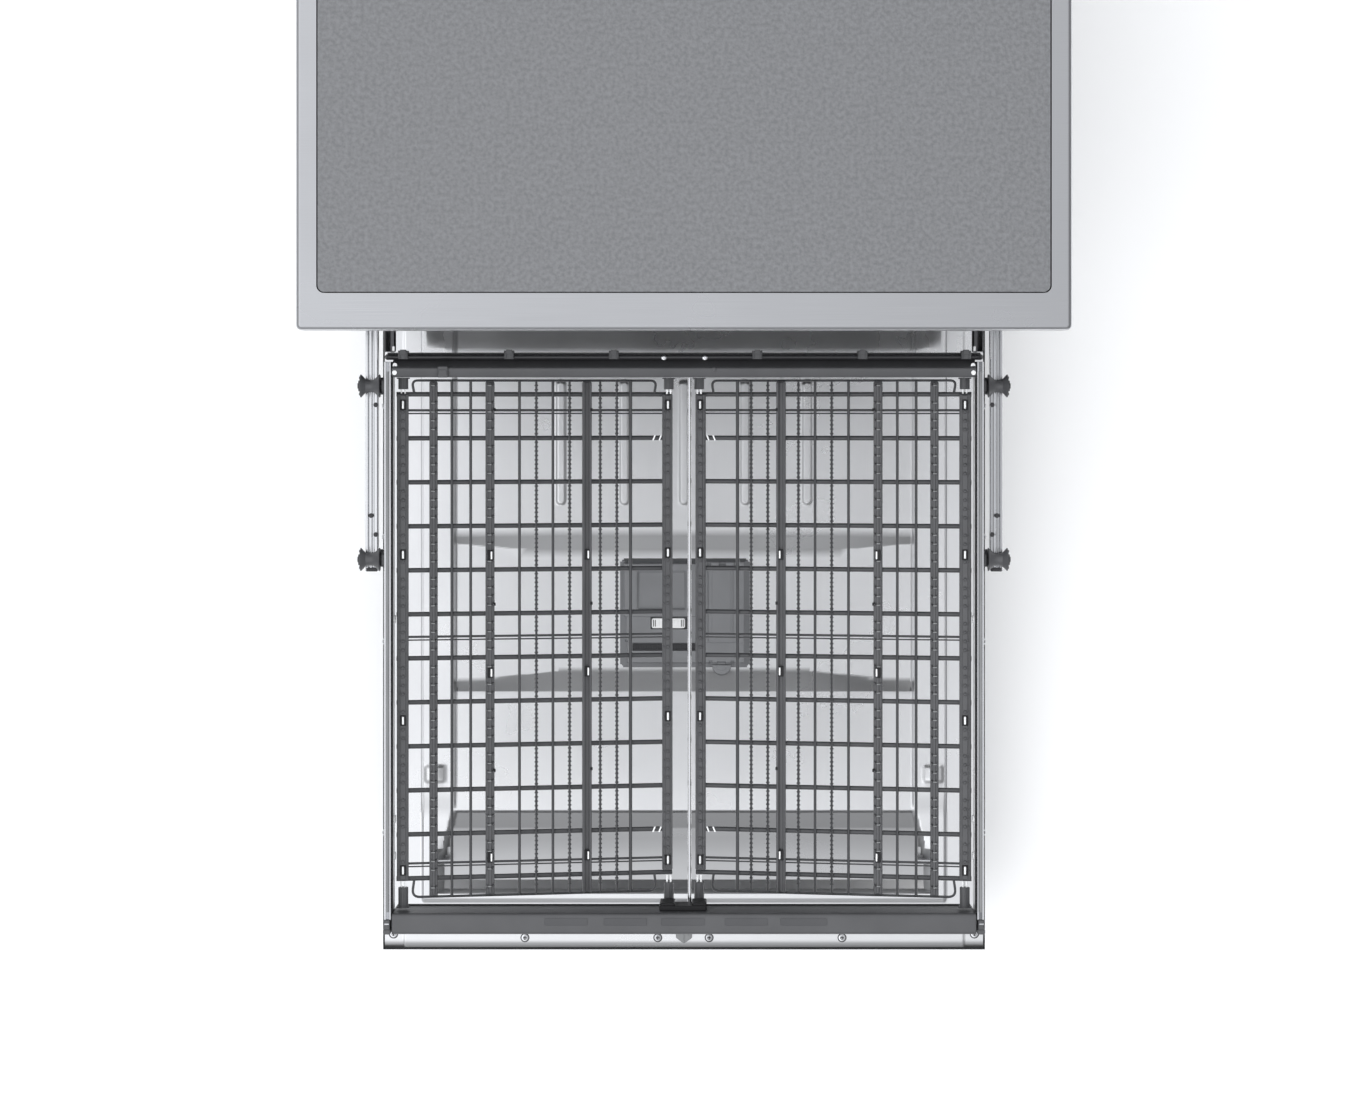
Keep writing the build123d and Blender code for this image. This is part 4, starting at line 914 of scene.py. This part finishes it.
def build_rear_rod():
    x0, x1, y0, y1, z0, z1 = REAR_ROD
    radius = 2.4
    rod_y, rod_z = y0 + radius, z1 - 5
    shape = Shape()
    end = x1 - radius
    bend = ((-end, rod_z - 8), (-end, rod_z), (end, rod_z), (end, rod_z - 8))
    corners = [(x, rod_y, z) for x, z in bend]
    shape.tube(rounded(corners, 4, 5, False), radius, 14)
    shape.box(-end, end, y0 + 1.1, y1 - 1.5, z0, rod_z - 0.5, 0.4)
    shape.paint = 1
    for clip_x in (-228, -142, -57, 59.5, 145, 229):
        shape.strip(clip_x, 4, y0 + 0.6, y1, z0, z1 - 0.6)
        shape.strip(clip_x, 2.4, y1 - 3, y1 + 0.8, z1 - 5, z1 + 0.2, 0.25)
        shape.box(clip_x - 3.4, clip_x - 2.2, y0 + 1, y1 - 1, z1 - 1, z1 + 0.6)
        shape.box(clip_x + 2.2, clip_x + 3.4, y0 + 1, y1 - 1, z1 - 1, z1 + 0.6)
    screw = [(0, 2.3), (1.2, 2.2), (1.6, 1.6), (1.6, 0.7), (1.0, 0.5)]
    shape.paint = 2
    for screw_x in (-16.3, 17):
        shape.lathe(screw, (screw_x, rod_y - 0.6, rod_z + 1.4), "Z", 20)
    shape.become("rack_rear_rod", "cutlery_rack", ["cutlery_rear_rod"],
                 "black_wire", "rack_plastic", "chrome")


def build_front_bar():
    x0, x1, y0, y1, z0, z1 = FRONT_BAR
    shape = Shape()
    section = rounded([(y0, z0), (y0, z1), (y1, z1), (y1, z0)], 3.2, 5)
    shape.prism(section, x0, x1, "X", 0.6)
    pads = [(-113, -78), (-65, -30), (-18.6, 17), (33, 68), (78, 116)]
    shape.paint = 2
    for low, high in pads:
        shape.prism(slab(low, high, y1 - 9.5, y1 - 3.4, 1.2), z1 - 0.2, z1 + 0.35, "Z", 0.2)
    # a black strip low on the bar's rear face: painted shadow line along its lower rear edge
    shape.paint = 1
    shape.box(x0 + 1, x1 - 1, y1 - 0.3, y1 + 0.9, z0 + 1, z0 + 5)
    shape.become("rack_front_bar", "cutlery_rack", ["cutlery_front_bar"],
                 "rack_plastic", "black_trim", "bar_pad")


def add_bush(shape, x, z, bar_y, comb_y):
    """A stepped bush between a bar of the rack and the end of a comb, with two pale pins."""
    way = 1 if comb_y > bar_y else -1
    length = abs(comb_y - bar_y)
    shape.paint = 0
    body = 0.72 * length
    profile = [(0, 5.4), (1.0, 5.4), (1.05, 4.1), (body - 0.3, 4.1), (body, 3.8)]
    shape.lathe([(way * along, radius) for along, radius in profile], (x, bar_y, z), "Y", 22)
    shape.box(x - 0.6, x + 0.6, *sorted((bar_y, bar_y + way * body)), z + 3.8, z + 5.0)
    shape.paint = 1
    for pin_x in (x - 1.5, x + 1.5):
        shape.tube([(pin_x, bar_y + way * (body - 0.5), z + 0.5), (pin_x, comb_y, z + 0.5)], 0.75, 8)


def build_rack_fittings():
    shape = Shape()
    y0, y1 = FITTINGS[2], FITTINGS[3]
    low = RACK_TOP - 33
    dome = [(0, 2.6), (0.9, 2.4), (1.7, 1.7), (2.2, 0.5)]
    moon = [(0, 3.3), (1.0, 3.3), (1.3, 2.9), (1.3, 1.6), (0.4, 1.4)]
    for side in SIDES:
        inner, outer = both(side, RAIL_OUTER - 4.8, RAIL_OUTER + 0.3)
        shape.paint = 0
        shape.box(inner, outer, y0 + 1.5, y0 + 12, low, RACK_TOP - 0.8, 0.9)
        shape.box(inner - 0.6, outer + 0.6, y0, y0 + 4.2, low, RACK_TOP, 0.8)
        shape.paint = 2
        shape.box(inner + 0.6, outer - 0.6, y0 + 7.6, y0 + 9.2, RACK_TOP - 1.4, RACK_TOP - 0.3)
        for bush_x, bush_z in zip(BUSH_XS, BUSH_ZS):
            add_bush(shape, side * bush_x, bush_z, REAR_BAR[2] - 0.3, -49)
            add_bush(shape, side * bush_x, bush_z, FRONT_BAR[3] + (2 if bush_x > 100 else 4), -445)
        shape.paint = 2
        for rivet_y in (-59, -165, -250, -405):
            place = (side * (RAIL_OUTER - 0.1), rivet_y, RACK_TOP - 6)
            shape.lathe(facing(side, dome), place, "X", 18)
        shape.paint = 1
        for moon_y in (-233, -396, -426):
            place = (side * (RAIL_OUTER - 6.5), moon_y, RACK_TOP - 21)
            shape.lathe(facing(-side, moon), place, "X", 22)
    shape.paint = 3
    bracket_y = FRONT_BAR[3]
    shape.box(-20, 18, bracket_y, bracket_y + 4.4, RACK_TOP - 34, RACK_TOP - 12, 0.6)
    for foot_x in (-13.5, 12.5):
        shape.strip(foot_x, 6, bracket_y, bracket_y + 6.4, RACK_TOP - 38, RACK_TOP - 14, 0.8)
    shape.become("rack_fittings", "cutlery_rack", ["cutlery_fittings"],
                 "rack_plastic", "clip_plastic", "rail_steel", "black_trim")


ROLLER_ROWS = {"rear_rollers": "rear_roller_pair", "front_rollers": "front_roller_pair"}
GUIDE_OUTER = 262  # the lower guide under each roller
GUIDE_ZS = (687, 699)
STEM_OUTER = 246.4


def build_axle_blocks():
    shape = Shape()
    for node in ROLLER_ROWS:
        x0, x1, y0, y1, z0, z1 = extents(node)
        mid_y, mid_z = (y0 + y1) / 2, (z0 + z1) / 2
        for side in SIDES:
            shape.paint = 0
            root = RAIL_OUTER + 0.2
            span = both(side, root, x1 - 18.9)
            shape.box(*span, mid_y - 4.6, mid_y + 4.6, mid_z - 9, mid_z + 5.5, 0.8)
            shape.box(*both(side, root, GUIDE_OUTER), mid_y - 7, mid_y + 7, *GUIDE_ZS, 0.8)
            shape.box(*both(side, root, STEM_OUTER), mid_y - 6, mid_y + 6, GUIDE_ZS[0] + 1, mid_z, 0.5)
            shape.paint = 1
            shape.tube([(side * x, mid_y, mid_z) for x in (RAIL_OUTER + 1, x1 + 0.7)], 2.2, 16)
    shape.become("rack_axle_blocks", "cutlery_rack", ["cutlery_fittings"],
                 "rack_plastic", "dark_plastic")


def build_rollers(node, body):
    x0, x1, y0, y1, z0, z1 = extents(node)
    mid_y, mid_z = (y0 + y1) / 2, (z0 + z1) / 2
    radius = (z1 - z0) / 2
    shape = Shape()
    spool = [(x1 - 18.0, 4.4), (x1 - 17.6, radius - 0.3), (x1 - 17.2, radius), (x1 - 16.7, radius - 0.4)]
    spool += [(x1 - 12.8, 5.4), (x1 - 9.4, 4.8), (x1 - 6.0, 5.4), (x1 - 2.5, radius - 0.4)]
    spool += [(x1 - 2.0, radius), (x1 - 1.6, radius - 0.3), (x1 - 1.3, 4.6), (x1, 4.0), (x1, 2.4)]
    peg = [(x1 - 1.2, 1.1), (x1 - 0.5, 1.0)]
    for side in SIDES:
        shape.paint = 0
        shape.lathe(facing(side, spool), (0, mid_y, mid_z), "X", 36)
        shape.paint = 1
        for spoke in range(6):
            a = 2 * pi * spoke / 6
            place = (0, mid_y + 6.6 * cos(a), mid_z + 6.6 * sin(a))
            shape.lathe(facing(side, peg), place, "X", 10)
    shape.become(node + "_spools", body, [node], "rack_plastic", "dark_plastic")


def build_middle_rails():
    x0, x1, y0, y1, z0, z1 = MIDDLE
    shape = Shape()
    section = [  # distance in from the outer face, distance below the top
        (0, 0.9), (0.4, 0.1), (2.1, 0), (2.5, 0.5), (2.7, 2.2), (3.3, 2.2), (3.5, 0.4), (4.2, 0.1),
        (5.2, 0.1), (5.6, 0.5), (5.8, 2.6), (6.8, 2.6), (7.1, 0.9), (7.6, 0.6), (9.6, 0.6), (10.1, 1.2),
    ]
    screw = [(0, 2.0), (0.9, 1.9), (1.2, 1.3), (1.2, 0.5)]
    for side in SIDES:
        outline = [(side * x1, z0)]
        outline += [(side * (x1 - inward), z1 - below) for inward, below in section]
        outline.append((side * (x1 - section[-1][0]), z0))
        shape.paint = 0
        shape.prism(outline, y0, y1, "Y", 0.3)
        shape.paint = 1
        for inward, spot_y in ((8.6, -58), (4.7, -148.5), (8.6, -164)):
            shape.lathe(screw, (side * (x1 - inward), spot_y, z1 - 0.6), "Z", 16)
        shape.box(*both(side, x1 - 9.8, x1 - 0.6), y0 - 0.2, y0 + 3, z0 + 0.3, z1 + 0.25, 0.5)
    shape.become("rack_middle_rails", "middle_rails", ["cutlery_middle_rails"],
                 "rail_steel", "dark_plastic")


build_rack_rails()
build_centre_rod()
build_rear_bar()
build_rear_rod()
build_front_bar()
build_rack_fittings()
build_axle_blocks()
for roller_node, roller_body in ROLLER_ROWS.items():
    build_rollers(roller_node, roller_body)
build_middle_rails()


# --- back of the cabinet ---

PRESS_MARGIN = 46
RIB_ARM = 11


def build_back_pressing():
    """Stiffening ribs and screws on the plain rear sheet."""
    x0, x1, y0, y1, z0, z1 = extents("back_panel")
    shape = Shape()
    side_margin = 2.2 * PRESS_MARGIN
    for rib_x in spread(x0 + side_margin, x1 - side_margin, 4):
        outline = slab(rib_x - RIB_ARM, rib_x + RIB_ARM, z0 + PRESS_MARGIN, z1 - PRESS_MARGIN, 10, 6)
        shape.prism(outline, y1 - 0.1, y1 + 2.2, "Y", 1.4)
    screw = [(-0.1, 5.2), (0.5, 5.0), (0.6, 3.8), (1.9, 3.4), (2.3, 2.2)]
    shape.paint = 1
    for side_x in (x0 + 9, x1 - 9):
        for screw_z in spread(z0 + 14, z1 - 18, 5):
            shape.lathe(screw, (side_x, y1, screw_z), "Y", 20)
            shape.strip(side_x, 1.7, y1 + 2.1, y1 + 2.5, screw_z - 0.4, screw_z + 0.4, 0.1)
    shape.become("back_panel_ribs_and_screws", "cabinet", [], "zinc_sheet", "chrome")


build_back_pressing()


# --- trays of the cutlery rack ---
# In a tray's own plane X is the distance in from its outer edge down the slope, Y is the
# frame's Y, and Z stands square on the tray.

TRAY_REAR = -38.1
TRAY_FRONT = -459.8
CROSS_FIRST = -49.4
CROSS_PITCH = 35.93
CROSS_COUNT = 12
TOOTH_PITCH = CROSS_PITCH / 5
CROSS_R = 2.0
THIN_R = 1.0
LONG_Z = CROSS_R + THIN_R
CROSS_END = 228
CROSS_YS = [CROSS_FIRST - CROSS_PITCH * index for index in range(CROSS_COUNT)]
THIN_YS = (-62.5, -247.5, -432.4)
PLAIN_WIRES = (45.4, 60.8, 100.9, 128.5, 192.9)
BEAD_PITCH = TOOTH_PITCH / 2
BEADED_WIRES = (114.8, 142.3, 167.7, 181.5)
# The combs: X of the middle, width, rear end and front end.
BUMP_COMBS = ((5.3, 9.6, -49, -446), (223.6, 8.6, -49, -442.5))
PIN_COMBS = ((30.4, 6.8, -39, -459), (76.6, 7.4, -39, -459))
PLAIN_COMB = (156.4, 7.6, -39, -459)
BAR_YS = (-181, -277, -428)  # white bars on the combs' dark seats
SPECK_YS = (-62, -221, -357)  # dark specks along the same combs' edges
WHITE_CLIP_ROWS = (1, 10)  # cross wires with a pair of white clips
WHITE_CLIP_XS = (211.0, 216.2)
BUMP, PIN = [(5.6, 1.7), (6.8, 1.4), (7.3, 0.7)], [(4.4, 1.1), (7.6, 0.85), (8.2, 0.4)]
BEAD = [(-0.9, 0.9), (-0.5, 1.5), (0.5, 1.5), (0.9, 0.9)]


def tray_plane(side):
    lean = Matrix((
        (cos(TRAY_TILT), 0, sin(TRAY_TILT), -TRAY_OUTER_X),
        (0, 1, 0, 0),
        (-sin(TRAY_TILT), 0, cos(TRAY_TILT), TRAY_OUTER_Z),
        (0, 0, 0, 1),
    ))
    return Matrix.Diagonal((-side, 1, 1, 1)) @ lean


def build_tray_wires(side, name, body, node):
    shape = Shape(tray_plane(side))
    for y in CROSS_YS:
        shape.tube([(0.5, y, 0), (CROSS_END, y, 0)], CROSS_R, 12)
    for y in THIN_YS:
        for offset, radius in ((0, THIN_R), (-2.6, 0.6)):
            shape.tube([(8, y + offset, 0.4), (CROSS_END - 6, y + offset, 0.4)], radius, 8)
    for edge_y, first_y in ((TRAY_REAR, CROSS_YS[0]), (TRAY_FRONT, CROSS_YS[-1])):
        corners = [(15, first_y, 0.8), (12.8, edge_y, 0.8), (215, edge_y, 0.8), (213, first_y, 0.8)]
        shape.tube(rounded(corners, 7, 6, False), 1.05, 10)
    for x in PLAIN_WIRES:
        radius = 1.45 if x == PLAIN_WIRES[-1] else 1.2
        shape.tube([(x, TRAY_REAR, LONG_Z), (x, TRAY_FRONT, LONG_Z)], radius, 10)
    for x in BEADED_WIRES:
        shape.tube([(x, TRAY_REAR, LONG_Z), (x, TRAY_FRONT, LONG_Z)], 0.95, 8)
        beads = int((TRAY_REAR - TRAY_FRONT - 8) / BEAD_PITCH)
        for index in range(beads):
            shape.lathe(BEAD, (x, TRAY_REAR - 4 - index * BEAD_PITCH, LONG_Z), "Y", 8)
    shape.become(name, body, [node], "rack_wire")


def tooth_ys(rear, front):
    """Four teeth in each bay between two cross wires."""
    teeth = product(range(-1, CROSS_COUNT), range(1, 5))
    spots = [CROSS_FIRST - bay * CROSS_PITCH - tooth * TOOTH_PITCH for bay, tooth in teeth]
    return [y for y in spots if front + 3 < y < rear - 3]


def build_tray_combs(side, name, body, node):
    shape = Shape(tray_plane(side))
    base = CROSS_R + 0.1
    for x, wide, rear, front in BUMP_COMBS:
        shape.paint = 0
        shape.strip(x, wide / 2, front, rear, base, 5.0, 1.0)
        shape.box(x - wide / 2 + 2.2, x + wide / 2 - 2.2, front + 1, rear - 1, 4.6, 6.0, 0.7)
        for y in tooth_ys(rear, front):
            shape.lathe(BUMP, (x, y, 0), "Z", 10)
            shape.box(x - wide / 2 + 0.2, x - wide / 2 + 1.5, y - 0.7, y + 0.7, 4.8, 6.0)
        for clip_y in (rear - 9, -180, -315, front + 9):
            shape.paint = 2
            shape.block(x, clip_y, 2.4, 4.2, 5.6, 7.2, 0.4)
            shape.paint = 1
            shape.box(x - 0.9, x + 0.7, clip_y - 3.2, clip_y + 3.2, 6.8, 7.9, 0.4)
    for x, wide, rear, front in PIN_COMBS:
        shape.paint = 0
        shape.strip(x, wide / 2, front, rear, base, 4.8, 0.8)
        shape.strip(x, 1.2, front + 1, rear - 1, 4.4, 6.2, 0.5)
        for y in tooth_ys(rear, front):
            shape.paint = 3
            shape.box(x - 2.3, x + 0.9, y - 0.5, y + 0.5, 4.4, 7.4)
            shape.paint = 0
            shape.lathe(PIN, (x + wide / 2 - 1.3, y + 0.6, 0), "Z", 8)
            shape.box(x - wide / 2 + 0.3, x - wide / 2 + 1.6, y - 1.4, y + 1.4, 4.4, 6.6, 0.4)
    x, wide, rear, front = PLAIN_COMB
    shape.paint = 0
    shape.strip(x, wide / 2, front, rear, base, 4.4, 0.9)
    for edge_x in (x - wide / 2 + 1.1, x + wide / 2 - 1.1):
        shape.strip(edge_x, 1.1, front, rear, 4.0, 7.4, 0.7)
    for x, wide, rear, front in (PIN_COMBS[1], PLAIN_COMB):
        for clip_y in BAR_YS:
            shape.paint = 2
            shape.box(x - 2.4, x + 1.8, clip_y - 4.2, clip_y + 4.2, 3.6, 8.0)
            shape.paint = 1
            shape.box(x + 0.1, x + 1.4, clip_y - 3.2, clip_y + 3.2, 7.6, 8.6)
        shape.paint = 2
        for speck_y in SPECK_YS:
            edge_x = x + wide / 2
            shape.box(edge_x - 1.4, edge_x + 0.6, speck_y - 1.3, speck_y + 1.3, 3.6, 7.9)
    shape.paint = 1
    for row in WHITE_CLIP_ROWS:
        low, high = CROSS_YS[row] - 2.2, CROSS_YS[row] + 2.2
        for x in WHITE_CLIP_XS:
            outline = [(x, low), (x + 1.2, low), (x + 3.0, high), (x + 1.8, high)]
            shape.prism(outline, 1.2, 3.2, "Z", 0.15)
    shape.become(name, body, [node], "rack_plastic", "clip_plastic", "black_trim", "grey_plastic")


for tray_side, word in zip(SIDES, ("left", "right")):
    build_tray_wires(tray_side, word + "_tray_grid", word + "_tray", word + "_tray_wires")
    build_tray_combs(tray_side, word + "_tray_comb_strips", word + "_tray", word + "_tray_combs")


# --- floor, light and camera ---

FLOOR_REACH = 30.0
CAMERA_PLACE = (0, -0.054, 3.224)
CAMERA_LENS = 80.9
CAMERA_SHIFT = -0.1075
CAMERA_SENSOR = 36
CAMERA_REACH = 50
SKY_COLOUR = (0.955, 0.97, 1.0, 1)
SKY_OVERHEAD = 1.02
SKY_HORIZON = 0.32
SKY_HEIGHTS = (0.45, 0.97)  # Z of the view direction where the brightening starts and ends
SKY_LEAN = (-1.5, -0.15, 0.0)  # the sky is brighter to the left, and a little to the front
LEAN_BAND, LEAN_SHARES = (-0.4, 0.4), (0.6, 1.4)


def build_floor():
    r = FLOOR_REACH
    mesh = bpy.data.meshes.new("floor")
    mesh.from_pydata([(-r, -r, 0), (r, -r, 0), (r, r, 0), (-r, r, 0)], [], [(0, 1, 2, 3)])
    floor = placed("floor", mesh)
    tree, shader = new_material("floor_paint", 0.9)
    shader.inputs["Specular IOR Level"].default_value = 0.1
    cloud = noise(tree, 1.5, 2.0)
    colour_between(tree, shader, cloud, (0.93, 0.935, 0.94), (0.95, 0.955, 0.96))
    mesh.materials.append(LOOKS["floor_paint"])


def add_area_light(name, place, target, size, power, mirrored_in_metal=False):
    light = bpy.data.lights.new(name, "AREA")
    light.shape = "SQUARE"
    light.size = size
    light.energy = power
    holder = placed(name, light)
    holder.location = place
    holder.rotation_euler = (Vector(target) - Vector(place)).to_track_quat("-Z", "Y").to_euler()
    holder.visible_camera = False
    holder.visible_glossy = mirrored_in_metal


def build_sky():
    """A bright ceiling that falls off towards the walls, as soft boxes over a studio table do."""
    world = bpy.data.worlds.new("studio")
    world.use_nodes = True
    tree = world.node_tree
    background = tree.nodes["Background"]
    background.inputs["Color"].default_value = SKY_COLOUR
    way = add_node(tree, "TexCoord").outputs["Generated"]
    up = add_node(tree, "SeparateXYZ", way).outputs["Z"]
    lean = add_node(tree, "VectorMath", way, operation="DOT_PRODUCT")
    lean.inputs[1].default_value = SKY_LEAN
    shade = (SKY_HORIZON, SKY_OVERHEAD)
    height = map_range(tree, up, SKY_HEIGHTS, shade, interpolation_type="SMOOTHSTEP")
    share = map_range(tree, lean.outputs["Value"], LEAN_BAND, LEAN_SHARES)
    strength = add_node(tree, "Math", height, share, operation="MULTIPLY")
    tree.links.new(strength.outputs["Value"], background.inputs["Strength"])
    bpy.context.scene.world = world


def build_light():
    build_sky()
    add_area_light("key", (-1.1, -0.8, 4.9), (-0.1, 0, 0.3), 5.4, 195)
    add_area_light("fill", (3.0, -1.6, 3.6), (0, 0, 0.4), 3.4, 62)
    add_area_light("rear", (0.4, 3.6, 3.0), (0, 0.2, 0.4), 2.4, 26, True)


def build_camera():
    lens = bpy.data.cameras.new("camera")
    lens.sensor_width = CAMERA_SENSOR
    lens.lens = CAMERA_LENS
    lens.shift_y = CAMERA_SHIFT
    lens.clip_end = CAMERA_REACH
    camera = placed("camera", lens)
    camera.location = CAMERA_PLACE
    bpy.context.scene.camera = camera


build_floor()
build_light()
build_camera()
bpy.context.scene.view_settings.view_transform = "Standard"
